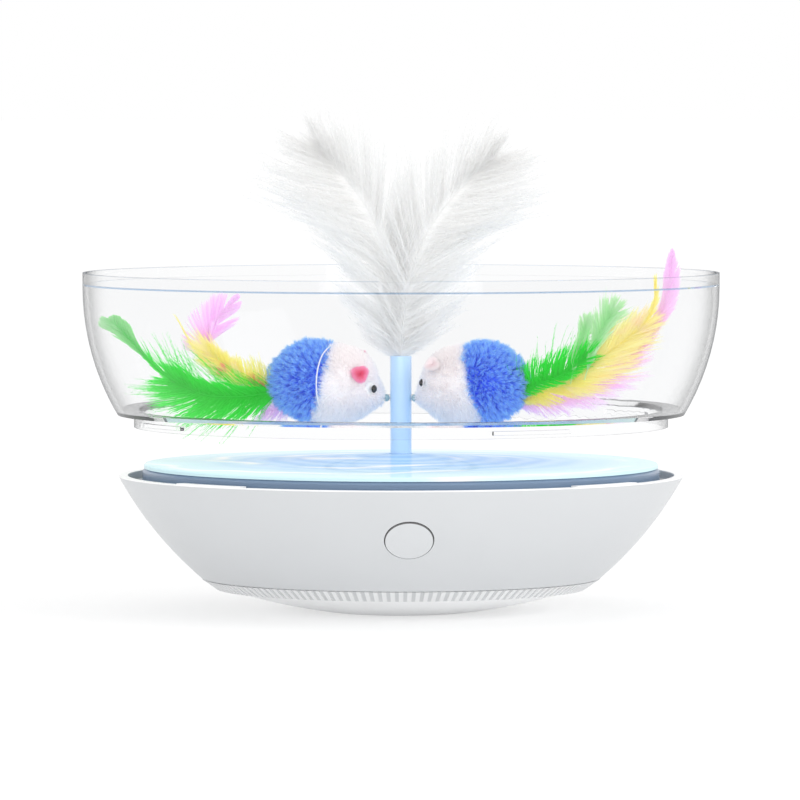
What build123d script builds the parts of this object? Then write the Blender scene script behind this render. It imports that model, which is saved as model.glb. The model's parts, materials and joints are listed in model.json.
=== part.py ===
from build123d import *
import math
import os

# Interactive cat feather teaser, in millimetres. The origin is the middle of the flat that the foot
# stands on, +Z is up and the front, with the power button, faces -Y.

# Gaps between pieces that fit together, and how far a cut runs past what it cuts
slip_gap = 0.2
shaft_gap = 0.04
lie_gap = 0.1
edge_round = 0.4
overrun = 2.0

# Foot dome and the ballast that lies in it
dome_sphere_radius = 224.0
foot_flat_radius = 28.5
dome_edge_radius = 68.0
dome_wall = 2.2
spigot_wall = 2.0
spigot_rise = 3.8
ballast_radius = 46.0
ballast_top_above_floor = 9.3

# Ribbed ring between the foot and the shell
ring_height = 4.35
ring_foot_radius = 72.6
ring_top_radius = 78.3
rib_count = 148
rib_depth = 0.7
rib_width_share = 0.5
shadow_line_height = 0.35
shadow_line_inset = 1.4

# Base shell, its lip and its bayonet lugs
shell_foot_radius = 78.5
shell_height = 40.4
lip_radius = 111.2
lip_width = 3.8
wall_bow_radius = 143.0
shell_wall = 1.8
floor_opening_radius = 62.0
lug_count = 4
lug_width_deg = 18.0
lug_turn_deg = 47.0
lug_reach = 2.0
lug_thickness = 1.6
lug_proud = 0.4
lug_notch_depth = 0.5
lug_notch_width_deg = 1.4

# Deck under the turntable
deck_thickness = 2.0
deck_drop = 7.5
deck_screw_circle = 90.0
deck_screw_count = 4
deck_boss_radius = 3.6
deck_pocket_radius = 3.6
deck_pocket_depth = 1.7

# Chassis plate that carries the drive, the battery and the board
chassis_height = 26.0
chassis_thickness = 2.0
chassis_radius = 72.0
chassis_screw_circle = 67.0
chassis_screw_count = 4
pillar_radius = 3.6

# Spindle and its bushes
spindle_radius = 2.5
spindle_flat = 0.5
bush_wall = 2.0
bush_flange_width = 1.9
bush_flange_thickness = 0.8
bush_boss_wall = 3.0
bush_boss_depth = 2.2
washer_thickness = 0.5

# Gear train: a motor pinion turns the idler's wheel, and the idler's pinion turns the output gear
tooth_module = 0.8
pressure_angle_deg = 25.0
addendum_share = 0.85
dedendum_share = 1.1
backlash = 0.12
flank_steps = 3
output_teeth = 48
idler_pinion_teeth = 12
idler_wheel_teeth = 40
motor_pinion_teeth = 10
output_gear_height = 5.0
idler_wheel_height = 4.0
motor_pinion_height = 4.6
gear_web_height = 2.4
gear_rim_width = 2.6
gear_hub_radius = 5.4
gear_clearance = 0.8
idler_axle_radius = 1.5

# Motor, hung under the chassis plate
motor_radius = 12.2
motor_length = 12.2
motor_boss_radius = 3.0
motor_boss_height = 1.4
motor_shaft_radius = 1.0
motor_shaft_stub = 11.0
motor_screw_spacing = 16.0

# Battery and its cradle
battery_width = 34.0
battery_length = 50.0
battery_thickness = 8.0
battery_corner = 2.5
cradle_wall = 1.2
cradle_rise = 5.0
cradle_floor = 0.8
battery_middle = 46.0

# Circuit board and charging socket, at the back
board_width = 26.0
board_length = 33.0
board_thickness = 1.6
board_lift = 2.0
board_post_radius = 2.6
board_post_spacing = 18.0
board_shelf_width = 24.0
board_shelf_grip = 8.0
socket_width = 8.94
socket_height = 3.26
socket_length = 7.35
socket_corner = 1.2
socket_wall = 0.3
socket_overhang = 3.3
socket_setback = 1.24
tongue_width = 6.7
tongue_thickness = 0.7
tongue_setback = 0.8
plug_recess_width = 12.0
plug_recess_height = 6.0

# Screws
screw_radius = 1.25
screw_head_radius = 2.3
screw_head_height = 1.5
screw_length = 8.0
ring_screw_circle = 70.5
ring_screw_count = 6
ring_screw_length = 4.6
small_screw_radius = 0.8
small_screw_head_radius = 1.6
small_screw_head_height = 0.9
small_screw_length = 4.0
drive_slot_width = 0.7
drive_slot_depth = 0.6

# Power button and the switch behind it
button_height = 33.8
button_turn_deg = 1.8
button_radius = 9.25
button_gap = 0.3
button_travel = 0.6
button_flange_radius = 10.8
button_flange_thickness = 1.0
button_flange_clearance = 0.8
button_stem_radius = 2.5
button_stem_length = 1.4
plunger_radius = 1.75
plunger_length = 1.8
plunger_shown = 1.0
plunger_bore_depth = 1.8
switch_width = 6.0
switch_height = 3.0
switch_board_length = 31.0
switch_board_width = 6.4
switch_board_thickness = 1.2
switch_post_radius = 2.0
switch_post_spacing = 27.0

# Turntable: tray, ripple disc and post
turntable_radius = 101.6
tray_bottom_height = 49.2
tray_band_height = 6.0
tray_bevel = 1.2
tray_rim_width = 3.4
tray_floor = 2.0
disc_radius = 101.0
disc_edge_height = 1.6
disc_thickness = 2.0
disc_rise = 3.9
disc_rest_width = 2.6
hub_radius = 7.5
hub_bottom_height = 47.5
spindle_seat_depth = 4.0
hub_web = 1.2
post_radius = 4.2
post_wall = 1.2
post_top_height = 98.9
spindle_screw_length = 5.0

# Ferrule and cross wire that hold the plumes and the mice
ferrule_length = 8.0
ferrule_collar = 1.2
wire_radius = 0.4
wire_drop = 15.3
wire_grip = 12.0

# Mice. A mouse lies along the wire with its nose at the post
mouse_length = 46.0
mouse_height = 32.5
mouse_width = 28.0
mouse_axis_above_wire = 5.7
mouse_face_gap = 2.0
rump_start_share = 0.56
rump_tilt_deg = 14.0
nose_radius = 1.5
nose_gap = 0.15
eye_radius = 1.75
eye_sink = 0.6
eye_start_share = 0.1
ear_radius = 3.1
ear_thickness = 0.9
ear_start_share = 0.22
ear_spread_deg = 32.0
eye_spread_deg = 15.0
left_mouse_roll_deg = 15.0
right_mouse_roll_deg = -3.0
right_mouse_turn_deg = -18.0

# How the mouse swells and tapers from nose to rump, one row a section:
# how far along, how far its middle is above the axis, its height and its width
mouse_section_shares = (
    (0.0, -0.17, 0.14, 0.14),
    (0.08, -0.07, 0.46, 0.42),
    (0.2, 0.0, 0.8, 0.76),
    (0.38, 0.0, 0.96, 0.96),
    (0.56, 0.03, 1.0, 1.0),
    (0.74, 0.05, 0.89, 0.92),
    (0.9, 0.03, 0.6, 0.66),
    (1.0, 0.0, 0.2, 0.22),
)

# Feathers. Each has its reach outwards or how far it ends inside the bowl's rim, its rise and its
# spread, and then one row a section: how far out, how far up and how wide
plume_thickness = 11.0
plume_part_gap = 0.15
plume_root_offset = 2.0
left_plume_reach = 41.0
left_plume_rise = 92.0
left_plume_spread = 42.0
left_plume_shares = (
    (0.0, 0.0, 0.1),
    (0.15, 0.16, 0.48),
    (0.37, 0.37, 0.66),
    (0.61, 0.57, 0.92),
    (0.8, 0.77, 1.0),
    (0.95, 0.94, 0.62),
    (1.0, 1.0, 0.2),
)
right_plume_reach = 48.0
right_plume_rise = 82.0
right_plume_spread = 40.0
right_plume_shares = (
    (0.0, 0.0, 0.1),
    (0.1, 0.19, 0.46),
    (0.27, 0.41, 0.64),
    (0.48, 0.62, 0.92),
    (0.71, 0.81, 1.0),
    (0.92, 0.94, 0.62),
    (1.0, 1.0, 0.2),
)
tail_thickness = 2.2
tail_layer = 2.6
tail_root_inset = 3.5
left_green_rise = 27.5
left_green_end_gap = 8.3
left_green_spread = 17.0
left_green_drop = -3.0
left_green_shares = (
    (0.0, 0.0, 0.3),
    (0.16, -0.13, 0.7),
    (0.34, -0.16, 0.95),
    (0.51, 0.02, 0.7),
    (0.66, 0.31, 0.26),
    (0.81, 0.6, 0.2),
    (0.91, 0.82, 0.62),
    (1.0, 1.0, 0.5),
)
left_yellow_rise = 27.0
left_yellow_reach = 39.0
left_yellow_spread = 11.0
left_yellow_drop = -1.5
left_yellow_shares = (
    (0.0, 0.0, 0.4),
    (0.2, 0.15, 0.9),
    (0.38, 0.31, 1.0),
    (0.59, 0.5, 0.55),
    (0.8, 0.7, 0.28),
    (1.0, 1.0, 0.2),
)
left_pink_rise = 32.5
left_pink_reach = 31.0
left_pink_spread = 10.0
left_pink_drop = 1.0
left_pink_shares = (
    (0.0, 0.0, 0.25),
    (0.26, 0.18, 0.3),
    (0.48, 0.37, 0.7),
    (0.68, 0.58, 1.0),
    (0.84, 0.8, 0.9),
    (1.0, 1.0, 0.35),
)
right_green_rise = 33.5
right_green_reach = 44.0
right_green_spread = 14.0
right_green_drop = -1.0
right_green_shares = (
    (0.0, 0.0, 0.45),
    (0.21, 0.12, 1.0),
    (0.42, 0.25, 1.0),
    (0.58, 0.45, 0.65),
    (0.72, 0.66, 0.38),
    (0.86, 0.82, 0.65),
    (1.0, 1.0, 0.4),
)
right_yellow_rise = 43.0
right_yellow_end_gap = 14.3
right_yellow_spread = 20.0
right_yellow_drop = -4.0
right_yellow_shares = (
    (0.0, 0.0, 0.3),
    (0.22, -0.01, 0.6),
    (0.45, 0.07, 0.9),
    (0.68, 0.26, 1.0),
    (0.87, 0.49, 0.7),
    (0.97, 0.76, 0.28),
    (1.0, 1.0, 0.12),
)
right_pink_rise = 60.0
right_pink_end_gap = 15.3
right_pink_spread = 16.0
right_pink_drop = -7.0
right_pink_shares = (
    (0.0, 0.0, 0.3),
    (0.25, -0.03, 0.55),
    (0.52, 0.03, 0.85),
    (0.76, 0.17, 1.0),
    (0.91, 0.4, 0.75),
    (0.97, 0.63, 0.7),
    (1.0, 0.85, 0.5),
    (1.0, 1.0, 0.2),
)

# Clear bowl, shown lifted off the base
bowl_lift = 23.3
bowl_height = 55.7
bowl_rim_radius = 125.0
bowl_bow_radius = 99.0
bowl_wall = 2.2
bowl_floor = 2.2
rim_band_height = 5.5
rim_rebate_depth = 4.3
rim_rebate_width = 1.0
rim_notch_width = 16.6
rim_notch_depth = 0.5
collar_clearance = 1.4
collar_wall = 1.9
collar_depth = 4.8
tab_reach = 1.7
tab_thickness = 1.5
tab_width_deg = 18.2
tab_turn_deg = 28.3
seat_gap = 0.1

# Heights and radii that follow from those sizes
full_turn_deg = 360.0
oval_points = 8
shell_bottom = (
    math.sqrt(dome_sphere_radius**2 - foot_flat_radius**2)
    - math.sqrt(dome_sphere_radius**2 - dome_edge_radius**2)
    + ring_height
)
ring_bottom = shell_bottom - ring_height
lip_height = shell_bottom + shell_height
shell_floor_top = shell_bottom + shell_wall
deck_top = lip_height - deck_drop
deck_bottom = deck_top - deck_thickness
chassis_top = chassis_height + chassis_thickness
bush_radius = spindle_radius + shaft_gap + bush_wall
spindle_top = hub_bottom_height + spindle_seat_depth
post_foot = spindle_top + hub_web
output_gear_top = deck_bottom - bush_boss_depth - lie_gap
output_gear_bottom = output_gear_top - output_gear_height
idler_wheel_bottom = chassis_top + gear_clearance
idler_wheel_top = idler_wheel_bottom + idler_wheel_height
idler_top = output_gear_top + lie_gap
motor_pinion_bottom = idler_wheel_bottom - gear_clearance / 4
motor_top = chassis_height
idler_place = -tooth_module * (output_teeth + idler_pinion_teeth) / 2
motor_place = idler_place - tooth_module * (idler_wheel_teeth + motor_pinion_teeth) / 2
wire_height = post_top_height - wire_drop
mouse_axis_height = wire_height + mouse_axis_above_wire
mouse_nose_start = post_radius + mouse_face_gap
tail_root = mouse_nose_start + mouse_length - tail_root_inset
left_green_reach = bowl_rim_radius - left_green_end_gap - tail_root
right_yellow_reach = bowl_rim_radius - right_yellow_end_gap - tail_root
right_pink_reach = bowl_rim_radius - right_pink_end_gap - tail_root
board_bottom = chassis_top + board_lift
board_top = board_bottom + board_thickness
tray_top = tray_bottom_height + tray_band_height + tray_bevel
disc_edge_top = tray_top + disc_edge_height
seat_height = lip_height + lug_proud + seat_gap
bowl_bottom = seat_height + bowl_lift
collar_inner_radius = turntable_radius + collar_clearance
collar_radius = collar_inner_radius + collar_wall


def save(name, shape):
    """Writes one piece, or one group of like pieces, to a file of its own."""
    shape.label = name
    export_step(shape, os.path.join("parts", name + ".step"))


def at(radius, height):
    """A point of an outline that is turned round the Z axis."""
    return Vector(radius, 0, height)


def bowed(start, end, radius):
    """The arc of that radius from start to end, bulging to the right of its way up."""
    chord = end - start
    sagitta = radius - math.sqrt(radius**2 - (chord.length / 2) ** 2)
    aside = Vector(chord.Z, 0, -chord.X).normalized() * sagitta
    return ThreePointArc(start, (start + end) / 2 + aside, end)


def turned(edges, angle=full_turn_deg):
    """The closed outline that the edges bound, turned round the Z axis."""
    return revolve(make_face(edges), Axis.Z, angle)


def line_through(*points):
    """Straight edges from each point to the next."""
    return [Line(start, end) for start, end in zip(points, points[1:])]


def collar_of(inner, outer, bottom, top):
    """A plain ring, or a disc where inner is zero."""
    corners = (at(inner, bottom), at(outer, bottom), at(outer, top), at(inner, top), at(inner, bottom))
    return turned(line_through(*corners))


def sector_of(inner, outer, bottom, top, middle_deg, width_deg):
    """A stretch of a plain ring. Its middle is turned from the front towards +X."""
    corners = (at(inner, bottom), at(outer, bottom), at(outer, top), at(inner, top), at(inner, bottom))
    stretch = turned(line_through(*corners), width_deg)
    return Rot(0, 0, middle_deg - width_deg / 2 - full_turn_deg / 4) * stretch


def rod(radius, bottom, top, x=0, y=0):
    """An upright round rod."""
    return Pos(x, y, (bottom + top) / 2) * Cylinder(radius, top - bottom)


def round_the_axis(circle, count, start_deg=0):
    """Places on a circle, evenly spaced from start_deg."""
    turns = [math.radians(start_deg + full_turn_deg * number / count) for number in range(count)]
    return [(circle * math.cos(turn), circle * math.sin(turn)) for turn in turns]


def screw(x, y, seat, radius, head_radius, head_height, length):
    """A slotted screw whose head lies on seat and whose shank points down."""
    head = rod(head_radius, seat, seat + head_height, x, y)
    slot = Pos(x, y, seat + head_height) * Box(2 * head_radius, drive_slot_width, 2 * drive_slot_depth)
    return head - slot + rod(radius, seat - length, seat, x, y)


def large_screws(places, seat, length):
    """A group of the large screws."""
    made = [
        screw(x, y, seat, screw_radius, screw_head_radius, screw_head_height, length) for x, y in places
    ]
    return Compound(made)


def small_screws(places, seat):
    """A group of the small screws."""
    made = [
        screw(
            x,
            y,
            seat,
            small_screw_radius,
            small_screw_head_radius,
            small_screw_head_height,
            small_screw_length,
        )
        for x, y in places
    ]
    return Compound(made)


def bowed_wall(bottom_radius, bottom, top_radius, top, bow_radius):
    """The circle that a bowed wall's outline lies on: how far out and how high its middle is."""
    chord = at(top_radius, top) - at(bottom_radius, bottom)
    back = math.sqrt(bow_radius**2 - (chord.length / 2) ** 2)
    middle = (at(top_radius, top) + at(bottom_radius, bottom)) / 2
    inwards = Vector(-chord.Z, 0, chord.X).normalized()
    centre = middle + inwards * back
    return centre.X, centre.Z


shell_centre = bowed_wall(shell_foot_radius, shell_bottom, lip_radius, lip_height, wall_bow_radius)


def shell_radius(height, inset=0):
    """The base shell's radius at a height, on its outside or that far inside it."""
    out, up = shell_centre
    return out + math.sqrt((wall_bow_radius - inset) ** 2 - (up - height) ** 2)


def shell_side(bottom, top, inset=0):
    """The base shell's wall outline from one height to another, that far inside it."""
    middle = (bottom + top) / 2
    return ThreePointArc(
        at(shell_radius(bottom, inset), bottom),
        at(shell_radius(middle, inset), middle),
        at(shell_radius(top, inset), top),
    )


def shell_envelope(inset=0):
    """Everything within the base shell's outer surface, or that far inside it."""
    bottom = at(shell_radius(shell_bottom, inset), shell_bottom)
    top = at(shell_radius(lip_height, inset), lip_height)
    side = shell_side(shell_bottom, lip_height, inset)
    return turned([side] + line_through(top, at(0, lip_height), at(0, shell_bottom), bottom))


socket_mouth = shell_radius(board_top + socket_height / 2, shell_wall) - socket_setback
board_end = socket_mouth - socket_overhang
board_shelf_start = board_end - board_shelf_grip
button_radius_out = shell_radius(button_height)
wall_slope = math.atan2(shell_centre[1] - button_height, button_radius_out - shell_centre[0])
button_heading = math.radians(button_turn_deg - full_turn_deg / 4)
button_plane = Plane(
    origin=(
        button_radius_out * math.cos(button_heading),
        button_radius_out * math.sin(button_heading),
        button_height,
    ),
    x_dir=(-math.sin(button_heading), math.cos(button_heading), 0),
    z_dir=(
        math.cos(wall_slope) * math.cos(button_heading),
        math.cos(wall_slope) * math.sin(button_heading),
        -math.sin(wall_slope),
    ),
)
button_neck_end = shell_wall + button_flange_clearance
button_stem_start = button_neck_end + button_flange_thickness
plunger_start = button_stem_start + button_stem_length
switch_start = plunger_start + plunger_shown
switch_board_start = switch_start + switch_height


def behind_button(radius, near, far, aside=0):
    """A round rod along the button's axis, between two depths behind the wall's outer surface."""
    return button_plane * Pos(aside, 0, -(near + far) / 2) * Cylinder(radius, far - near)


def dome_height(radius, inset=0):
    """The foot dome's height at a radius, on its outside or that far above it."""
    middle = math.sqrt(dome_sphere_radius**2 - foot_flat_radius**2)
    return middle - math.sqrt((dome_sphere_radius - inset) ** 2 - radius**2)


def dome_radius(height, inset=0):
    """Where a surface inside the foot dome reaches a height."""
    middle = math.sqrt(dome_sphere_radius**2 - foot_flat_radius**2)
    return math.sqrt((dome_sphere_radius - inset) ** 2 - (middle - height) ** 2)


def dome_side(start, end, inset=0):
    """The foot dome's outline from one radius to another, that far above its outside."""
    middle = (start + end) / 2
    return ThreePointArc(
        at(start, dome_height(start, inset)),
        at(middle, dome_height(middle, inset)),
        at(end, dome_height(end, inset)),
    )


def make_bottom_dome():
    """The domed foot, cut flat where it stands, with a spigot that fits up inside the ring."""
    spigot = floor_opening_radius - slip_gap
    inside = spigot - spigot_wall
    floor_edge = dome_radius(dome_wall, dome_wall)
    outline = line_through(
        at(dome_edge_radius, ring_bottom),
        at(spigot, ring_bottom),
        at(spigot, ring_bottom + spigot_rise),
        at(inside, ring_bottom + spigot_rise),
        at(inside, dome_height(inside, dome_wall)),
    )
    outline += [dome_side(inside, floor_edge, dome_wall)]
    outline += line_through(at(floor_edge, dome_wall), at(0, dome_wall), at(0, 0), at(foot_flat_radius, 0))
    outline += [dome_side(foot_flat_radius, dome_edge_radius)]
    return turned(outline)


def make_ballast_weight():
    """A steel disc whose underside follows the dome that it lies in."""
    inset = dome_wall + lie_gap
    floor_edge = dome_radius(inset, inset)
    top = inset + ballast_top_above_floor
    outline = [dome_side(floor_edge, ballast_radius, inset)]
    outline += line_through(
        at(ballast_radius, dome_height(ballast_radius, inset)),
        at(ballast_radius, top),
        at(0, top),
        at(0, inset),
        at(floor_edge, inset),
    )
    return turned(outline)


def ribbed_outline(radius, height):
    """A circle with a shallow slot between each two ribs, as a flat face at a height."""
    pitch = full_turn_deg / rib_count
    slot_radius = radius * (1 - rib_depth / ring_top_radius)
    corners = []
    for number in range(rib_count):
        middle = number * pitch
        for share, out in ((-1, slot_radius), (-1, radius), (1, radius), (1, slot_radius)):
            turn = math.radians(middle + share * rib_width_share * pitch / 2)
            corners.append((out * math.cos(turn), out * math.sin(turn), height))
    return make_face(Polyline(*corners, close=True))


def make_ribbed_ring():
    """The grip ring: upright ribs on a cone, under a thin recessed shadow line."""
    rib_top = shell_bottom - shadow_line_height
    lower = ribbed_outline(ring_foot_radius, ring_bottom)
    upper = ribbed_outline(ring_top_radius, rib_top)
    neck = rod(ring_top_radius - shadow_line_inset, rib_top, shell_bottom)
    ring = loft([lower, upper], ruled=True) + neck
    ring -= rod(floor_opening_radius, ring_bottom - overrun, shell_bottom + overrun)
    for x, y in round_the_axis(ring_screw_circle, ring_screw_count):
        ring -= rod(screw_radius, shell_floor_top - ring_screw_length - lie_gap, shell_bottom + overrun, x, y)
    return ring


def lip_lugs():
    """The bayonet lugs inside the lip, which the bowl rests on and locks under."""
    top = lip_height + lug_proud
    inner = lip_radius - lip_width - lug_reach
    outer = lip_radius - lip_width / 2
    step = full_turn_deg / lug_count
    turns = [lug_turn_deg + step * number for number in range(lug_count)]
    return [sector_of(inner, outer, top - lug_thickness, top, turn, lug_width_deg) for turn in turns]


def lug_notches():
    """The small notches in the lip beside each lug."""
    inner = lip_radius - lip_width - overrun
    outer = lip_radius - lip_width / 2
    step = full_turn_deg / lug_count
    aside = (lug_width_deg + lug_notch_width_deg) / 2
    made = []
    for number in range(lug_count):
        for turn in (lug_turn_deg - aside, lug_turn_deg + aside):
            made.append(
                sector_of(
                    inner,
                    outer,
                    lip_height - lug_notch_depth,
                    lip_height + overrun,
                    turn + step * number,
                    lug_notch_width_deg,
                )
            )
    return made


def make_base_shell():
    """The white shell: bowed wall, lip with lugs, floor ring, and the bosses that carry the inner parts."""
    lip_inner = lip_radius - lip_width
    out, up = shell_centre
    inner_bow = wall_bow_radius - shell_wall
    neck_height = up - math.sqrt(inner_bow**2 - (lip_inner - out) ** 2)
    lip_side_top = lip_height - edge_round
    outline = [shell_side(shell_bottom, lip_side_top)]
    lip_outer = at(lip_radius - edge_round, lip_height)
    outline += [bowed(lip_outer, at(shell_radius(lip_side_top), lip_side_top), edge_round)]
    outline += line_through(lip_outer, at(lip_inner, lip_height), at(lip_inner, neck_height))
    outline += [shell_side(neck_height, shell_floor_top, shell_wall)]
    outline += line_through(
        at(shell_radius(shell_floor_top, shell_wall), shell_floor_top),
        at(floor_opening_radius, shell_floor_top),
        at(floor_opening_radius, shell_bottom),
        at(shell_foot_radius, shell_bottom),
    )
    shell = turned(outline)
    envelope = shell_envelope(shell_wall / 2)

    deck_bosses = [
        rod(deck_boss_radius, shell_bottom, deck_bottom, x, y)
        for x, y in round_the_axis(deck_screw_circle, deck_screw_count, full_turn_deg / 8)
    ]
    pillars = [
        rod(pillar_radius, shell_bottom, chassis_height, x, y)
        for x, y in round_the_axis(chassis_screw_circle, chassis_screw_count, full_turn_deg / 8)
    ]
    shelf_length = lip_radius - board_shelf_start
    shelf = Pos(0, board_shelf_start + shelf_length / 2, (shell_bottom + board_bottom) / 2) * Box(
        board_shelf_width, shelf_length, board_bottom - shell_bottom
    )
    shelf_hollow_width = board_shelf_width - 4 * shell_wall
    shelf -= Pos(0, board_shelf_start + shelf_length / 2, board_bottom - shell_wall - board_lift) * Box(
        shelf_hollow_width, shelf_length - 2 * shell_wall, overrun
    )
    switch_posts = [
        behind_button(switch_post_radius, 0, switch_board_start, side * switch_post_spacing / 2)
        for side in (-1, 1)
    ]
    for grown in deck_bosses + pillars + [shelf] + switch_posts:
        shell += grown & envelope
    for lug in lip_lugs():
        shell += lug
    for notch in lug_notches():
        shell -= notch

    shell -= behind_button(button_radius + button_gap, -overrun, shell_wall + overrun)
    for x, y in round_the_axis(deck_screw_circle, deck_screw_count, full_turn_deg / 8):
        shell -= rod(screw_radius, deck_top - screw_length - lie_gap, deck_bottom + overrun, x, y)
    for x, y in round_the_axis(chassis_screw_circle, chassis_screw_count, full_turn_deg / 8):
        shell -= rod(screw_radius, chassis_top - screw_length - lie_gap, chassis_height + overrun, x, y)
    for x, y in round_the_axis(ring_screw_circle, ring_screw_count):
        shell -= rod(screw_radius, shell_bottom - overrun, shell_floor_top + overrun, x, y)
    shell -= plug_recess()
    return shell


def plug_recess():
    """The opening at the back that a charging plug goes into."""
    middle = board_top + socket_height / 2
    outline = SlotOverall(plug_recess_width, plug_recess_height)
    face = Plane(origin=(0, socket_mouth - overrun, middle), x_dir=(1, 0, 0), z_dir=(0, 1, 0)) * outline
    return extrude(face, lip_radius - socket_mouth)


def make_deck():
    """The plate that closes the base under the turntable, with the spindle's boss and the idler's pocket."""
    edge_gap = shell_wall + slip_gap
    outline = [shell_side(deck_bottom, deck_top, edge_gap)]
    outline += line_through(
        at(shell_radius(deck_top, edge_gap), deck_top),
        at(bush_radius, deck_top),
        at(bush_radius, deck_bottom - bush_boss_depth),
        at(bush_radius + bush_boss_wall, deck_bottom - bush_boss_depth),
        at(bush_radius + bush_boss_wall, deck_bottom),
        at(shell_radius(deck_bottom, edge_gap), deck_bottom),
    )
    deck = turned(outline)
    deck += rod(deck_pocket_radius, deck_bottom - deck_pocket_depth, deck_bottom, idler_place)
    pocket_end = deck_bottom + deck_thickness / 2
    deck -= rod(idler_axle_radius, deck_bottom - deck_pocket_depth - overrun, pocket_end, idler_place)
    for x, y in round_the_axis(deck_screw_circle, deck_screw_count, full_turn_deg / 8):
        deck -= rod(screw_radius, deck_bottom - overrun, deck_top + overrun, x, y)
    flange_end = button_stem_start + button_travel + slip_gap
    return deck - behind_button(button_flange_radius + slip_gap, button_neck_end - slip_gap, flange_end)


def make_bush(bottom, top, flange_up):
    """A flanged bush for the spindle. Its flange lies above or below the plate that holds it."""
    bore = spindle_radius + shaft_gap
    flange = bush_radius + bush_flange_width
    bush = collar_of(bore, bush_radius, bottom, top)
    if flange_up:
        return bush + collar_of(bore, flange, top, top + bush_flange_thickness)
    return bush + collar_of(bore, flange, bottom - bush_flange_thickness, bottom)


def make_chassis_plate():
    """The plate that carries motor, gears, battery and the inner end of the circuit board."""
    plate = rod(chassis_radius, chassis_height, chassis_top)
    plate -= rod(bush_radius, chassis_height - overrun, chassis_top + overrun)
    plate -= rod(idler_axle_radius, chassis_height - overrun, chassis_top + overrun, idler_place)
    plate -= rod(motor_boss_radius, chassis_height - overrun, chassis_top + overrun, motor_place)
    for x, y in motor_screw_places():
        plate -= rod(small_screw_radius, chassis_height - overrun, chassis_top + overrun, x, y)
    for x, y in round_the_axis(chassis_screw_circle, chassis_screw_count, full_turn_deg / 8):
        plate -= rod(screw_radius, chassis_height - overrun, chassis_top + overrun, x, y)
    for x, y in board_screw_places():
        plate += rod(board_post_radius, chassis_top, board_bottom, x, y)
        plate -= rod(small_screw_radius, chassis_height - overrun, board_bottom + overrun, x, y)
    return plate


def motor_screw_places():
    """Where the two motor screws go, either side of the motor's shaft."""
    return [(motor_place, side * motor_screw_spacing / 2) for side in (-1, 1)]


def board_screw_places():
    """Where the circuit board is screwed to its two posts on the chassis plate."""
    y = board_end - board_length + 2 * board_post_radius
    return [(side * board_post_spacing / 2, y) for side in (-1, 1)]


def involute(angle):
    """How far an involute has turned where its pressure angle is angle."""
    return math.tan(angle) - angle


def gear_outline(teeth):
    """A spur gear's outline. A tooth is centred on the X axis."""
    pressure = math.radians(pressure_angle_deg)
    pitch_radius = tooth_module * teeth / 2
    base_radius = pitch_radius * math.cos(pressure)
    tip_radius = pitch_radius + addendum_share * tooth_module
    root_radius = pitch_radius - dedendum_share * tooth_module
    half_tooth = math.pi / (2 * teeth) - backlash / (2 * pitch_radius)
    start_radius = max(base_radius, root_radius)
    flank = [(root_radius, half_tooth + involute(pressure))] if root_radius < base_radius else []
    for step in range(flank_steps + 1):
        radius = start_radius + (tip_radius - start_radius) * step / flank_steps
        turned_by = involute(math.acos(min(1, base_radius / radius)))
        flank.append((radius, half_tooth + involute(pressure) - turned_by))
    corners = []
    for number in range(teeth):
        middle = 2 * math.pi * number / teeth
        for radius, aside in flank:
            corners.append((radius * math.cos(middle - aside), radius * math.sin(middle - aside)))
        for radius, aside in reversed(flank):
            corners.append((radius * math.cos(middle + aside), radius * math.sin(middle + aside)))
    return make_face(Polyline(*corners, close=True))


def spur_gear(teeth, bottom, top, x, half_pitch_turn):
    """A spur gear's toothed block, turned by half a tooth pitch if half_pitch_turn is 1."""
    turn = half_pitch_turn * full_turn_deg / (2 * teeth)
    return Pos(x, 0, bottom) * Rot(0, 0, turn) * extrude(gear_outline(teeth), top - bottom)


def make_output_gear():
    """The gear pressed on the spindle, hollowed on both sides between its hub and its rim."""
    gear = spur_gear(output_teeth, output_gear_bottom, output_gear_top, 0, 0)
    rim = tooth_module * output_teeth / 2 - gear_rim_width
    recess = (output_gear_height - gear_web_height) / 2
    gear -= collar_of(gear_hub_radius, rim, output_gear_top - recess, output_gear_top + overrun)
    gear -= collar_of(gear_hub_radius, rim, output_gear_bottom - overrun, output_gear_bottom + recess)
    return gear - rod(spindle_radius, output_gear_bottom - overrun, output_gear_top + overrun)


def make_idler_gear():
    """The compound idler: a wheel that the motor pinion turns, and a pinion that turns the output gear."""
    wheel = spur_gear(idler_wheel_teeth, idler_wheel_bottom, idler_wheel_top, idler_place, 0)
    pinion = spur_gear(idler_pinion_teeth, idler_wheel_top, idler_top, idler_place, 1)
    bore = rod(idler_axle_radius + shaft_gap, idler_wheel_bottom - overrun, idler_top + overrun, idler_place)
    spacer = rod(idler_axle_radius * 2, chassis_top + lie_gap, idler_wheel_bottom, idler_place)
    return wheel + pinion + spacer - bore


def make_motor():
    """A flat round motor with a stepped boss, bored for its shaft."""
    can = rod(motor_radius, motor_top - motor_length, motor_top, motor_place)
    can = fillet(can.edges().group_by(Axis.Z)[0], edge_round * 2)
    can += rod(motor_boss_radius, motor_top, motor_top + motor_boss_height, motor_place)
    can -= rod(
        motor_shaft_radius + shaft_gap,
        motor_top - motor_shaft_stub,
        motor_top + motor_boss_height + overrun,
        motor_place,
    )
    for x, y in motor_screw_places():
        can -= rod(small_screw_radius, chassis_top - small_screw_length - lie_gap, motor_top + overrun, x, y)
    return can


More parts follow.
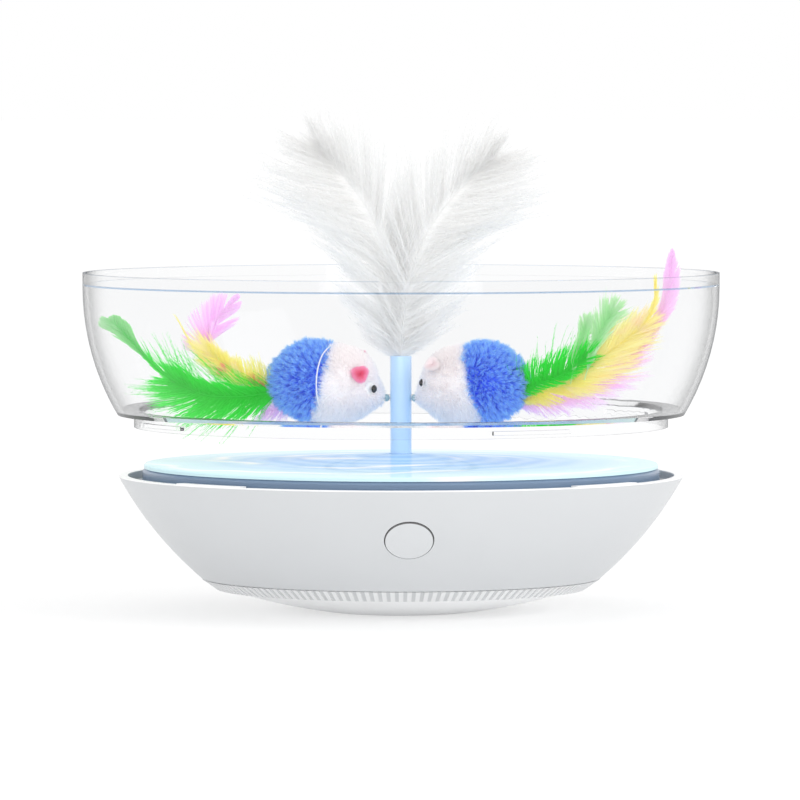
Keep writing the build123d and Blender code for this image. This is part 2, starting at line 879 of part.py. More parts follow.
def make_battery_cradle():
    """An open tray, with a cut-out at each end for fingers, that holds the battery on the chassis plate."""
    width = battery_width + 2 * (slip_gap + cradle_wall)
    length = battery_length + 2 * (slip_gap + cradle_wall)
    bottom = chassis_top
    tray = Pos(battery_middle, 0, bottom + cradle_rise / 2) * Box(width, length, cradle_rise)
    hollow = cradle_rise - cradle_floor
    tray -= Pos(battery_middle, 0, bottom + cradle_floor + hollow / 2) * Box(
        width - 2 * cradle_wall, length - 2 * cradle_wall, hollow
    )
    tray -= Pos(battery_middle, 0, bottom + cradle_floor + hollow / 2) * Box(
        battery_width / 2, length + overrun, hollow
    )
    return tray


def make_battery():
    """A flat pouch cell with rounded long edges."""
    bottom = chassis_top + cradle_floor + lie_gap
    cell = Pos(battery_middle, 0, bottom + battery_thickness / 2) * Box(
        battery_width, battery_length, battery_thickness
    )
    return fillet(cell.edges().filter_by(Axis.Y), battery_corner)


def make_circuit_board():
    """The main board, with its chips and its two screw holes."""
    middle = board_end - board_length / 2
    board = Pos(0, middle, (board_bottom + board_top) / 2) * Box(board_width, board_length, board_thickness)
    for x, y in board_screw_places():
        board -= rod(small_screw_radius, board_bottom - overrun, board_top + overrun, x, y)
    chip = board_width / 4
    for x, y, size in ((0, middle, chip), (-chip, middle + chip, chip / 2), (chip, middle + chip, chip / 2)):
        board += Pos(x, y, board_top + board_thickness / 2) * Box(size, size, board_thickness)
    return board


def make_charging_socket():
    """A small flat socket with a round-cornered mouth and a contact tongue."""
    middle = board_top + socket_height / 2
    mouth = Plane(origin=(0, socket_mouth, middle), x_dir=(-1, 0, 0), z_dir=(0, -1, 0))
    outside = mouth * RectangleRounded(socket_width, socket_height, socket_corner)
    inside = mouth * RectangleRounded(
        socket_width - 2 * socket_wall, socket_height - 2 * socket_wall, socket_corner - socket_wall
    )
    depth = socket_length - 2 * socket_wall
    shell = extrude(outside, socket_length) - extrude(inside, depth)
    tongue_length = depth - tongue_setback
    tongue = Pos(0, socket_mouth - tongue_setback - tongue_length / 2, middle) * Box(
        tongue_width, tongue_length, tongue_thickness
    )
    return shell + tongue


def make_power_button():
    """The round cap, flush with the wall, with the flange that keeps it in and its stem."""
    cap = behind_button(button_radius, -overrun, button_neck_end) & shell_envelope()
    cap += behind_button(button_flange_radius, button_neck_end, button_stem_start)
    return cap + behind_button(button_stem_radius, button_stem_start, plunger_start)


def make_switch():
    """The switch's square body, with the bore that its plunger moves in."""
    middle = (switch_start + switch_board_start) / 2
    body = button_plane * Pos(0, 0, -middle) * Box(switch_width, switch_width, switch_height)
    bore_end = switch_start + plunger_bore_depth
    return body - behind_button(plunger_radius + slip_gap / 2, switch_start - overrun, bore_end)


def make_switch_board():
    """The narrow board that holds the switch on its two posts."""
    end = switch_board_start + switch_board_thickness
    middle = (switch_board_start + end) / 2
    return button_plane * Pos(0, 0, -middle) * Box(
        switch_board_length, switch_board_width, switch_board_thickness
    )


def make_turntable_tray():
    """The slate blue tray: band with a bevel, floor, and the hub that takes the spindle and the post."""
    band_top = tray_bottom_height + tray_band_height
    rim_inner = turntable_radius - tray_rim_width
    hub_top = tray_top + disc_rise / 2
    bore = spindle_radius + lie_gap / 2
    socket = post_radius + lie_gap / 2
    outline = line_through(
        at(bore, hub_bottom_height),
        at(hub_radius, hub_bottom_height),
        at(hub_radius, tray_bottom_height),
        at(turntable_radius, tray_bottom_height),
        at(turntable_radius, band_top),
        at(turntable_radius - tray_bevel, tray_top),
        at(rim_inner, tray_top),
        at(rim_inner, tray_bottom_height + tray_floor),
        at(hub_radius, tray_bottom_height + tray_floor),
        at(hub_radius, hub_top),
        at(socket, hub_top),
        at(socket, post_foot),
        at(screw_radius, post_foot),
        at(screw_radius, spindle_top),
        at(bore, spindle_top),
        at(bore, hub_bottom_height),
    )
    tray = turned(outline)
    drive_flat = Pos(spindle_radius - spindle_flat + lie_gap / 2 + overrun / 2, 0, 0) * Box(
        overrun, 2 * spindle_radius, spindle_seat_depth
    )
    key = Pos(0, 0, (hub_bottom_height + spindle_top) / 2) * drive_flat
    return tray + (key & rod(bore + lie_gap, hub_bottom_height, spindle_top))


def make_ripple_disc():
    """The domed, light blue cover disc, with a raised rim underneath that rests on the tray."""
    hole = post_radius + slip_gap
    rise_at_hole = disc_rise
    under_edge = disc_radius - disc_rest_width
    top_bow = (disc_radius**2 + disc_rise**2) / (2 * disc_rise)
    under_rise = disc_edge_top + rise_at_hole - disc_thickness - tray_top
    under_bow = (under_edge**2 + under_rise**2) / (2 * under_rise)
    edge_top = disc_edge_top - edge_round
    corner = at(disc_radius - edge_round, disc_edge_top)
    outline = [bowed(at(hole, disc_edge_top + disc_rise), corner, top_bow)]
    outline += [bowed(corner, at(disc_radius, edge_top), edge_round)]
    outline += line_through(at(disc_radius, edge_top), at(disc_radius, tray_top), at(under_edge, tray_top))
    outline += [bowed(at(hole, tray_top + under_rise), at(under_edge, tray_top), under_bow)]
    outline += line_through(at(hole, tray_top + under_rise), at(hole, disc_edge_top + disc_rise))
    return turned(outline)


def wire_arms(radius):
    """The cross wire through the post: one straight arm into each mouse."""
    arm = mouse_nose_start + wire_grip
    left = Pos(-arm / 2, 0, wire_height) * Rot(0, full_turn_deg / 4, 0) * Cylinder(radius, arm)
    right = Pos(arm / 2, 0, wire_height) * Rot(0, full_turn_deg / 4, 0) * Cylinder(radius, arm)
    bend = Sphere(radius).moved(Location((0, 0, wire_height)))
    return left + bend + Rot(0, 0, right_mouse_turn_deg) * right


def make_post():
    """The tube in the middle of the turntable, with a cross hole for the wire."""
    tube = collar_of(post_radius - post_wall, post_radius, post_foot, post_top_height)
    return tube - wire_arms(wire_radius)


def make_spindle():
    """The steel spindle, with a flat at the top that drives the tray, and a tapped end."""
    bottom = chassis_height - bush_flange_thickness - spindle_radius
    shaft = rod(spindle_radius, bottom, spindle_top)
    flat = Pos(spindle_radius - spindle_flat + overrun / 2, 0, (hub_bottom_height + spindle_top) / 2) * Box(
        overrun, 2 * spindle_radius, spindle_seat_depth
    )
    tapped = rod(screw_radius, post_foot - spindle_screw_length - lie_gap, spindle_top + overrun)
    return shaft - flat - tapped


def make_ferrule():
    """The plug in the post's top that binds the plumes' quills."""
    plug = rod(post_radius - post_wall - lie_gap / 2, post_top_height - ferrule_length, post_top_height)
    return plug + rod(post_radius, post_top_height, post_top_height + ferrule_collar)


def oval_face(plane, width, height):
    """An oval of four quarter arcs, on a plane."""
    points = []
    for number in range(oval_points + 1):
        turn = math.radians(full_turn_deg) * number / oval_points
        local = Vector(width / 2 * math.cos(turn), height / 2 * math.sin(turn))
        points.append(plane.from_local_coords(local))
    arcs = [ThreePointArc(*points[start : start + 3]) for start in range(0, oval_points, 2)]
    return make_face(arcs)


def lens_face(plane, width, thickness):
    """A thin lens of two arcs, on a plane."""
    left = plane.from_local_coords(Vector(-width / 2, 0))
    right = plane.from_local_coords(Vector(width / 2, 0))
    above = plane.from_local_coords(Vector(0, thickness / 2))
    below = plane.from_local_coords(Vector(0, -thickness / 2))
    return make_face([ThreePointArc(left, above, right), ThreePointArc(right, below, left)])


def feather(root, reach, rise, spread, thickness, shares):
    """A feather: lens-shaped sections along its quill, lofted, its flat side towards the front."""
    spine = [root + Vector(reach * out, 0, rise * up) for out, up, _ in shares]
    faces = []
    for number, (_, _, wide) in enumerate(shares):
        before = spine[max(number - 1, 0)]
        after = spine[min(number + 1, len(spine) - 1)]
        heading = (after - before).normalized()
        across = Vector(-heading.Z, 0, heading.X)
        plane = Plane(origin=spine[number], x_dir=across, z_dir=heading)
        faces.append(lens_face(plane, spread * wide, thickness * (1 + wide) / 2))
    return loft(faces)


def mouse_form():
    """The whole mouse, head and rump together, for a mouse on the +X side."""
    faces = []
    for along, above, tall, wide in mouse_section_shares:
        origin = (
            mouse_nose_start + mouse_length * along,
            0,
            mouse_axis_height + mouse_height * above,
        )
        plane = Plane(origin=origin, x_dir=(0, 1, 0), z_dir=(1, 0, 0))
        faces.append(oval_face(plane, mouse_width * wide, mouse_height * tall))
    return loft(faces)


def mouse_side_point(along_share, up_deg, side):
    """A point on the mouse's flank, and which way is out there. Side is -1 at the front, 1 at the back."""
    rows = mouse_section_shares
    number = max(row for row in range(len(rows) - 1) if rows[row][0] <= along_share)
    low, high = rows[number], rows[number + 1]
    blend = (along_share - low[0]) / (high[0] - low[0])
    above, tall, wide = (low[item] + (high[item] - low[item]) * blend for item in (1, 2, 3))
    up = math.radians(up_deg)
    half_width = mouse_width * wide / 2
    half_height = mouse_height * tall / 2
    point = Vector(
        mouse_nose_start + mouse_length * along_share,
        side * half_width * math.cos(up),
        mouse_axis_height + mouse_height * above + half_height * math.sin(up),
    )
    slope = (high[3] - low[3]) * mouse_width / 2 / ((high[0] - low[0]) * mouse_length)
    outwards = Vector(-slope, side * math.cos(up) / half_width * half_height, math.sin(up)).normalized()
    return point, outwards


def both_sides(spread_deg, roll_deg):
    """The angle above the flank and the side of an ear or eye pair, rolled towards the front."""
    return ((spread_deg - roll_deg, -1), (spread_deg + roll_deg, 1))


def make_ears(head, roll_deg):
    """Two thin round ears that lie on the head."""
    made = []
    for up_deg, side in both_sides(ear_spread_deg, roll_deg):
        point, outwards = mouse_side_point(ear_start_share, up_deg, side)
        ear = Plane(origin=point, z_dir=outwards) * Cylinder(ear_radius, 2 * ear_thickness)
        made.append((ear - head).solids().sort_by(SortBy.VOLUME)[-1])
    return Compound(made)


def make_eyes(head, roll_deg):
    """Two bead eyes, partly sunk in the head."""
    made = []
    for up_deg, side in both_sides(eye_spread_deg, roll_deg):
        point, outwards = mouse_side_point(eye_start_share, up_deg, side)
        bead = Sphere(eye_radius).moved(Location(point - outwards * eye_sink))
        made.append((bead - head).solids().sort_by(SortBy.VOLUME)[-1])
    return Compound(made)


def make_nose(head):
    """The bead at the tip of the snout, threaded on the cross wire beside the post."""
    middle = Vector(post_radius + nose_gap + nose_radius, 0, wire_height)
    bead = Sphere(nose_radius).moved(Location(middle)) - head
    thread = Location(middle) * Rot(0, full_turn_deg / 4, 0) * Cylinder(wire_radius, 4 * nose_radius)
    return bead - thread


def make_mouse(side_name, place, roll_deg, tails):
    """Saves one mouse: its rump, head, ears, eyes, nose and tail feathers."""
    whole = mouse_form()
    tilt = math.radians(rump_tilt_deg)
    cut = Plane(
        origin=(mouse_nose_start + mouse_length * rump_start_share, 0, mouse_axis_height),
        z_dir=(math.cos(tilt), 0, math.sin(tilt)),
    )
    rump = split(whole, bisect_by=cut, keep=Keep.TOP)
    head = split(whole, bisect_by=cut, keep=Keep.BOTTOM)
    bore_length = wire_grip + overrun
    bore_middle = Location((mouse_nose_start + wire_grip - bore_length / 2, 0, wire_height))
    drilled = head - bore_middle * Rot(0, full_turn_deg / 4, 0) * Cylinder(wire_radius, bore_length)
    save(side_name + "_mouse_rump", place(rump))
    save(side_name + "_mouse_head", place(drilled))
    save(side_name + "_mouse_ears", place(make_ears(head, roll_deg)))
    save(side_name + "_mouse_eyes", place(make_eyes(head, roll_deg)))
    save(side_name + "_mouse_nose", place(make_nose(head)))
    for layer, (colour, reach, rise, spread, drop, shares) in enumerate(tails):
        root = Vector(tail_root, (layer - 1) * tail_layer, mouse_axis_height + drop)
        vane = feather(root, reach, rise, spread, tail_thickness, shares) - whole
        save(side_name + "_" + colour + "_feather", place(vane.solids().sort_by(SortBy.VOLUME)[-1]))


def make_plume(side, reach, rise, spread, shares):
    """A white plume. The two plumes part at the middle plane, where they press on each other."""
    root = Vector(plume_root_offset, 0, post_top_height + ferrule_collar)
    plume = feather(root, reach, rise, spread, plume_thickness, shares)
    parting = Plane(origin=(plume_part_gap, 0, 0), z_dir=(1, 0, 0))
    plume = split(plume, bisect_by=parting, keep=Keep.TOP)
    stand = Plane(origin=(0, 0, post_top_height + ferrule_collar), z_dir=(0, 0, 1))
    plume = split(plume, bisect_by=stand, keep=Keep.TOP)
    return plume if side > 0 else mirror(plume, about=Plane.YZ)


def bowl_side(bottom, top, inset=0):
    """The bowl's bowed wall outline between two heights above its underside, that far inside it."""
    reach = bowl_bow_radius - inset
    tangent = bowl_height - rim_band_height

    def point(height):
        out = math.sqrt(reach**2 - (tangent - height) ** 2) - bowl_bow_radius
        return at(bowl_rim_radius + out, bowl_bottom + height)

    return ThreePointArc(point(bottom), point((bottom + top) / 2), point(top))


def make_clear_bowl():
    """The clear guard: rim, bowed wall, floor ring, collar and the bayonet tabs on the collar."""
    tangent = bowl_height - rim_band_height
    wall_foot = bowl_side(0, tangent).position_at(0)
    inner_foot = bowl_side(bowl_floor, tangent, bowl_wall).position_at(0)
    rim_top = bowl_bottom + bowl_height
    rebate = rim_top - rim_rebate_depth
    outline = [bowl_side(0, tangent)]
    outline += line_through(
        at(bowl_rim_radius, bowl_bottom + tangent),
        at(bowl_rim_radius, rim_top),
        at(bowl_rim_radius - bowl_wall + rim_rebate_width, rim_top),
        at(bowl_rim_radius - bowl_wall + rim_rebate_width, rebate),
        at(bowl_rim_radius - bowl_wall, rebate),
        at(bowl_rim_radius - bowl_wall, bowl_bottom + tangent),
    )
    outline += [bowl_side(tangent, bowl_floor, bowl_wall)]
    outline += line_through(
        inner_foot,
        at(collar_inner_radius, bowl_bottom + bowl_floor),
        at(collar_inner_radius, bowl_bottom - collar_depth),
        at(collar_radius, bowl_bottom - collar_depth),
        at(collar_radius, bowl_bottom),
        wall_foot,
    )
    bowl = turned(outline)
    tab_top = bowl_bottom - (lug_thickness + slip_gap + seat_gap)
    step = full_turn_deg / lug_count
    for number in range(lug_count):
        bowl += sector_of(
            collar_radius - collar_wall / 2,
            collar_radius + tab_reach,
            tab_top - tab_thickness,
            tab_top,
            tab_turn_deg + step * number,
            tab_width_deg,
        )
    notch = Box(rim_notch_width, 2 * bowl_wall + overrun, 2 * rim_notch_depth)
    return bowl - Pos(0, -bowl_rim_radius, rim_top) * notch


def placed_left(shape):
    """A piece of the mouse on the +X side, mirrored to the -X side."""
    return mirror(shape, about=Plane.YZ)


def placed_right(shape):
    """A piece of the mouse on the +X side, turned to where the right mouse lies."""
    return Rot(0, 0, right_mouse_turn_deg) * shape


os.makedirs("parts", exist_ok=True)

# Foot and base
save("bottom_dome", make_bottom_dome())
save("ballast_weight", make_ballast_weight())
save("ribbed_ring", make_ribbed_ring())
save("base_shell", make_base_shell())
save("deck", make_deck())
ring_screw_places = round_the_axis(ring_screw_circle, ring_screw_count)
deck_screw_places = round_the_axis(deck_screw_circle, deck_screw_count, full_turn_deg / 8)
save("ring_screws", large_screws(ring_screw_places, shell_floor_top, ring_screw_length))
save("deck_screws", large_screws(deck_screw_places, deck_top, screw_length))

# Drive
save("chassis_plate", make_chassis_plate())
chassis_screw_places = round_the_axis(chassis_screw_circle, chassis_screw_count, full_turn_deg / 8)
save("chassis_screws", large_screws(chassis_screw_places, chassis_top, screw_length))
save("lower_bush", make_bush(chassis_height, chassis_top, False))
save("upper_bush", make_bush(deck_bottom - bush_boss_depth, deck_top, True))
save(
    "thrust_washer",
    collar_of(
        spindle_radius + shaft_gap,
        bush_radius + bush_flange_width,
        deck_top + bush_flange_thickness,
        deck_top + bush_flange_thickness + washer_thickness,
    ),
)
save("spindle", make_spindle())
save("output_gear", make_output_gear())
save("idler_gear", make_idler_gear())
axle_end = deck_bottom + deck_thickness / 2 - lie_gap
save("idler_axle", rod(idler_axle_radius, chassis_height, axle_end, idler_place))
save("motor", make_motor())
pinion_top = motor_pinion_bottom + motor_pinion_height
shaft_bottom = motor_top - motor_shaft_stub + lie_gap
save("motor_shaft", rod(motor_shaft_radius, shaft_bottom, pinion_top, motor_place))
save(
    "motor_pinion",
    spur_gear(motor_pinion_teeth, motor_pinion_bottom, pinion_top, motor_place, 1)
    - rod(motor_shaft_radius, motor_pinion_bottom - overrun, idler_top, motor_place),
)
save("motor_screws", small_screws(motor_screw_places(), chassis_top))

# Power and control
save("battery_cradle", make_battery_cradle())
save("battery", make_battery())
save("circuit_board", make_circuit_board())
save("board_screws", small_screws(board_screw_places(), board_top))
save("charging_socket", make_charging_socket())
save("power_button", make_power_button())
save("switch_plunger", behind_button(plunger_radius, plunger_start, plunger_start + plunger_length))
save("switch_body", make_switch())
save("switch_board", make_switch_board())

# Turntable
save("turntable_tray", make_turntable_tray())
save("ripple_disc", make_ripple_disc())
save("post", make_post())
save("spindle_screw", large_screws([(0, 0)], post_foot, spindle_screw_length))
save("plume_ferrule", make_ferrule())
save("cross_wire", wire_arms(wire_radius))

# Toys
left_plume = make_plume(-1, left_plume_reach, left_plume_rise, left_plume_spread, left_plume_shares)
right_plume = make_plume(1, right_plume_reach, right_plume_rise, right_plume_spread, right_plume_shares)
save("left_plume", left_plume)
save("right_plume", right_plume)
make_mouse(
    "left",
    placed_left,
    left_mouse_roll_deg,
    (
        ("green", left_green_reach, left_green_rise, left_green_spread, left_green_drop, left_green_shares),
        (
            "yellow",
            left_yellow_reach,
            left_yellow_rise,
            left_yellow_spread,
            left_yellow_drop,
            left_yellow_shares,
        ),
        ("pink", left_pink_reach, left_pink_rise, left_pink_spread, left_pink_drop, left_pink_shares),
    ),
)
make_mouse(
    "right",
    placed_right,
    right_mouse_roll_deg,
    (
        ("pink", right_pink_reach, right_pink_rise, right_pink_spread, right_pink_drop, right_pink_shares),
        (
            "yellow",
            right_yellow_reach,
            right_yellow_rise,
            right_yellow_spread,
            right_yellow_drop,
            right_yellow_shares,
        ),
        (
            "green",
            right_green_reach,
            right_green_rise,
            right_green_spread,
            right_green_drop,
            right_green_shares,
        ),
    ),
)

# Guard
save("clear_bowl", make_clear_bowl())
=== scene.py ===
import json
import math

import bpy
import numpy as np
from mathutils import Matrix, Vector
from mathutils.bvhtree import BVHTree
from mathutils.kdtree import KDTree


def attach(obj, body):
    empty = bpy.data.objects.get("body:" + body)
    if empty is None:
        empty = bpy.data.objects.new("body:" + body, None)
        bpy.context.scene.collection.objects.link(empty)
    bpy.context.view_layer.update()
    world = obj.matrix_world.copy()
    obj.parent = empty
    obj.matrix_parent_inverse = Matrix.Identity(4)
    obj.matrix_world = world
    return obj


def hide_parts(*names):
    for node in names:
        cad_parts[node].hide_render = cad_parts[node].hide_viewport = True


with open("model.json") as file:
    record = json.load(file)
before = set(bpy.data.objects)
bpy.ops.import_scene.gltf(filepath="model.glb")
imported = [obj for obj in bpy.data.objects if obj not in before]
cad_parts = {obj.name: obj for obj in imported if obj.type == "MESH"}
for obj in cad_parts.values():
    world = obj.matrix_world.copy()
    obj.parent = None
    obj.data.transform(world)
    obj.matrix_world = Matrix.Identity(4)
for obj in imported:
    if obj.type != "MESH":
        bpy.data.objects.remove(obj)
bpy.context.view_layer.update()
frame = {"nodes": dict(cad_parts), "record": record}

# Interactive cat feather teaser, in metres: its finishes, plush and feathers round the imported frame
mm = 0.001
seed = 20
random = np.random.default_rng(seed)

# Camera, at the photograph's viewing angle
photo_side = 800
sensor_width = 36.0
camera_lens = 306.0
camera_aim = Vector((-0.4 * mm, 0, 82.8 * mm))
camera_distance = 2.670
camera_pitch = math.radians(2.63)
camera_place = camera_aim + Vector((0, -camera_distance, camera_distance * math.tan(camera_pitch)))

# How far each mouse and its tail is turned about the post
left_turn = 0.0
right_turn = math.radians(-18.0)

# How far apart the feathers of one tail lie, front to back
tail_layer = 2.6 * mm


def plane_facing(turn):
    """The way that an upright plane turned about the post faces: from the camera to the back."""
    return (-math.sin(turn), math.cos(turn), 0.0)


def spot(column, row, turn=0.0, off=0.0):
    """The place that a spot of the photograph shows, on an upright plane turned about the post.
    The plane lies off behind the post's middle."""
    focal = camera_lens / sensor_width * photo_side
    up = photo_side / 2 - row
    forward = focal * math.cos(camera_pitch) + up * math.sin(camera_pitch)
    climb = up * math.cos(camera_pitch) - focal * math.sin(camera_pitch)
    ray = Vector((column - photo_side / 2, forward, climb))
    facing = Vector(plane_facing(turn))
    reach = (off - facing.dot(camera_place)) / facing.dot(ray)
    return camera_place + ray * reach


def placed(name, data):
    """A new object in the scene."""
    made = bpy.data.objects.new(name, data)
    bpy.context.scene.collection.objects.link(made)
    return made


def make_camera():
    data = bpy.data.cameras.new("camera")
    data.lens = camera_lens
    data.sensor_width = sensor_width
    camera = placed("camera", data)
    camera.location = camera_place
    camera.rotation_euler = (math.pi / 2 - camera_pitch, 0, 0)
    bpy.context.scene.camera = camera


make_camera()


# Sizes of the solids, which the finishes follow
lip_height = 53.5 * mm
ledge_height = 128.7 * mm
ledge_radius = 124.0 * mm
rim_height = 133.0 * mm
rib_count = 148
button_radius = 9.25 * mm
button_middle = (3.06 * mm, -97.45 * mm, 33.8 * mm)


# Shaders, with the Mix node's sockets for colours by their number
mix_factor = 0
mix_first = 6
mix_second = 7
mix_result = 2

# How coarse the noise of moulded plastic is
cloud_scale = 45.0
grain_scale = 2600.0

# Every finish by its name, as material() makes them
finishes = {}


class Wire:
    """A socket in a shader tree. Sums written on it add Math nodes."""

    def __init__(self, tree, socket=None):
        self.tree = tree
        self.socket = socket

    def node(self, kind, settings=(), sockets=(), output=0):
        """Adds a node of that type: its settings first, then its sockets. Gives one of its outputs."""
        made = self.tree.nodes.new(kind)
        for name, value in dict(settings).items():
            setattr(made, name, value)
        for name, value in dict(sockets).items():
            if isinstance(value, Wire):
                self.tree.links.new(value.socket, made.inputs[name])
            else:
                made.inputs[name].default_value = value
        return Wire(self.tree, made.outputs[output] if made.outputs else None)

    def maths(self, operation, *values):
        return self.node("ShaderNodeMath", {"operation": operation}, dict(enumerate(values)))

    def __add__(self, other):
        return self.maths("ADD", self, other)

    __radd__ = __add__

    def __sub__(self, other):
        return self.maths("SUBTRACT", self, other)

    def __rsub__(self, other):
        return self.maths("SUBTRACT", other, self)

    def __mul__(self, other):
        return self.maths("MULTIPLY", self, other)

    __rmul__ = __mul__

    def __pow__(self, other):
        return self.maths("POWER", self, other)

    def larger(self, other):
        return self.maths("MAXIMUM", self, other)

    def ramp(self, low, high):
        """0 below low, 1 above high and smooth between."""
        settings = {"interpolation_type": "SMOOTHSTEP"}
        return self.node("ShaderNodeMapRange", settings, {"Value": self, "From Min": low, "From Max": high})

    def tint(self, first, second):
        """The first colour where this is 0, the second where it is 1."""
        sockets = {mix_factor: self, mix_first: first, mix_second: second}
        return self.node("ShaderNodeMix", {"data_type": "RGBA"}, sockets, mix_result)


def rgb(red, green, blue):
    return (red, green, blue, 1.0)


white = rgb(1.0, 1.0, 1.0)


def shade(colour, share):
    """A colour with only that share of its brightness."""
    return tuple(value * share for value in colour[:3]) + (1.0,)


def material(name, surface):
    """A finish whose shader the surface function makes from its empty tree."""
    made = bpy.data.materials.new(name)
    made.use_nodes = True
    made.node_tree.nodes.clear()
    start = Wire(made.node_tree)
    shader = surface(start)
    start.node("ShaderNodeOutputMaterial", (), {"Surface": shader})
    finishes[name] = made


def place_of(start):
    """Where a point is, in the frame."""
    return start.node("ShaderNodeTexCoord", output="Object")


def along_axis(start, axis):
    """How far a point lies along X, Y or Z."""
    return start.node("ShaderNodeSeparateXYZ", (), {"Vector": place_of(start)}, output=axis)


def distance_out(start):
    """How far a point is from the middle axis."""
    x = along_axis(start, "X")
    y = along_axis(start, "Y")
    return (x * x + y * y) ** 0.5


def turn_about(start):
    """The angle at which a point stands round the middle axis, in radians."""
    return start.maths("ARCTAN2", along_axis(start, "Y"), along_axis(start, "X"))


def noise(start, scale, detail=3.0, where=None):
    sockets = {"Vector": where or place_of(start), "Scale": scale, "Detail": detail}
    return start.node("ShaderNodeTexNoise", (), sockets)


def bump(start, height, distance):
    return start.node("ShaderNodeBump", (), {"Height": height, "Distance": distance})


def fine_grain(start, depth):
    return bump(start, noise(start, grain_scale, detail=2.0), depth)


def light_path(start, kind):
    """1 for rays of that kind and 0 for the rest."""
    return start.node("ShaderNodeLightPath", output="Is " + kind + " Ray")


def blend(start, share, first, second):
    """The first shader where the share is 0, the second where it is 1."""
    return start.node("ShaderNodeMixShader", (), {0: share, 1: first, 2: second})


def see_through(start, colour):
    return start.node("ShaderNodeBsdfTransparent", (), {"Color": colour})


def principled(start, **sockets):
    named = {name.replace("_", " "): value for name, value in sockets.items()}
    return start.node("ShaderNodeBsdfPrincipled", (), named)


def moulded(name, colour, roughness, grain=0.02 * mm, coat=0.0, mottle=0.03):
    """Moulded plastic: faintly uneven colour and polish over a fine grain."""

    def surface(start):
        cloud = noise(start, cloud_scale)
        return principled(
            start,
            Base_Color=cloud.tint(shade(colour, 1 - mottle), colour),
            Roughness=cloud * 0.08 + (roughness - 0.04),
            Normal=fine_grain(start, grain),
            Coat_Weight=coat,
            Coat_Roughness=0.08,
        )

    material(name, surface)


def metal(name, colour, roughness):
    """Bare metal with a fine drawn grain."""

    def surface(start):
        stretch = {"Vector": place_of(start), "Scale": (180.0, 180.0, 2160.0)}
        drawn = noise(start, 6.0, detail=4.0, where=start.node("ShaderNodeMapping", (), stretch))
        return principled(
            start,
            Base_Color=drawn.tint(shade(colour, 0.8), colour),
            Metallic=1.0,
            Roughness=drawn * 0.2 + (roughness - 0.1),
            Normal=bump(start, drawn, 0.01 * mm),
        )

    material(name, surface)


def speckled(name, colour, speck, scale):
    """A printed board or a sintered part: a ground with darker flecks."""

    def surface(start):
        fleck = noise(start, scale, detail=4.0).ramp(0.52, 0.62)
        return principled(start, Base_Color=fleck.tint(colour, speck), Roughness=fleck * 0.2 + 0.45)

    material(name, surface)


def ripple_surface(start):
    """Light blue, paler towards the edge as painted light, with rings and white swirls of painted highlight
    that lie round the post like ripples on water.
    """
    out = distance_out(start)
    turn = turn_about(start)
    wander = noise(start, 16.0, detail=2.0)
    spiral = start.maths("SINE", turn * 3.0 + out * 190.0 + wander * 9.0) * 0.5 + 0.5
    rings = start.maths("SINE", out * 560.0 + wander * 10.0 + turn) * 0.5 + 0.5
    broken = noise(start, 26.0, detail=1.0).ramp(0.36, 0.58)
    # Painted highlight: the white swirls stand for light glinting off the ripples.
    swirl_highlight = (spiral**9.0) * broken
    # Painted light: the blue turns paler towards the disc's edge, where it looks lit.
    edge = out.ramp(0.045, 0.098)
    ground = edge.tint(rgb(0.36, 0.62, 0.97), rgb(0.72, 0.97, 1.0))
    banded = (rings * 0.45).tint(ground, rgb(0.68, 0.90, 1.0))
    swell = spiral * 0.6 + rings * 0.4
    return principled(
        start,
        Base_Color=swirl_highlight.tint(banded, rgb(0.98, 1.0, 1.0)),
        Roughness=swell * 0.06 + 0.25,
        Specular_IOR_Level=0.0,
        Coat_Weight=0.45,
        Coat_Roughness=0.03,
        Normal=bump(start, swell, 0.3 * mm),
    )


def post_surface(start):
    """Translucent blue tube, a little cloudy."""
    cloud = noise(start, 60.0)
    return principled(
        start,
        Base_Color=cloud.tint(rgb(0.50, 0.72, 1.0), rgb(0.55, 0.77, 1.0)),
        Roughness=cloud * 0.05 + 0.12,
        Specular_IOR_Level=0.2,
        Coat_Weight=0.8,
        Coat_Roughness=0.1,
    )


def shell_surface(start):
    """The shell's white plastic, with a painted highlight on its flat lip."""
    # Painted highlight: the lip's top face turns white, for the light it catches.
    high = along_axis(start, "Z").ramp(lip_height - 0.5 * mm, lip_height - 0.25 * mm)
    cloud = noise(start, cloud_scale)
    ground = cloud.tint(rgb(0.625, 0.64, 0.655), rgb(0.645, 0.66, 0.675))
    return principled(
        start,
        Base_Color=high.tint(ground, white),
        Roughness=cloud * 0.08 + 0.3,
        Normal=fine_grain(start, 0.02 * mm),
    )


def ring_surface(start):
    """The grip ring's white ribs, and painted shade in the greyer slots between them."""
    # Painted shade: the slots between the ribs are greyer, for the shade that falls in them.
    rib_versus_slot_shade = start.maths("COSINE", turn_about(start) * rib_count).ramp(-0.5, 0.1)
    cloud = noise(start, cloud_scale)
    return principled(
        start,
        Base_Color=rib_versus_slot_shade.tint(rgb(0.63, 0.64, 0.65), rgb(0.84, 0.845, 0.85)),
        Roughness=cloud * 0.08 + 0.38,
    )


def button_surface(start):
    """The button's white plastic, with a thin dark line of painted shade round its edge."""
    ends = {0: place_of(start), 1: button_middle}
    gap = start.node("ShaderNodeVectorMath", {"operation": "DISTANCE"}, ends, "Value")
    # Painted shade: a thin dark ring at the button's edge, for the shadowed gap between it and the shell.
    edge = gap.ramp(button_radius - 0.25 * mm, button_radius - 0.1 * mm)
    cloud = noise(start, cloud_scale)
    return principled(
        start,
        Base_Color=edge.tint(rgb(0.66, 0.675, 0.69), rgb(0.12, 0.12, 0.12)),
        Roughness=cloud * 0.08 + 0.26,
    )


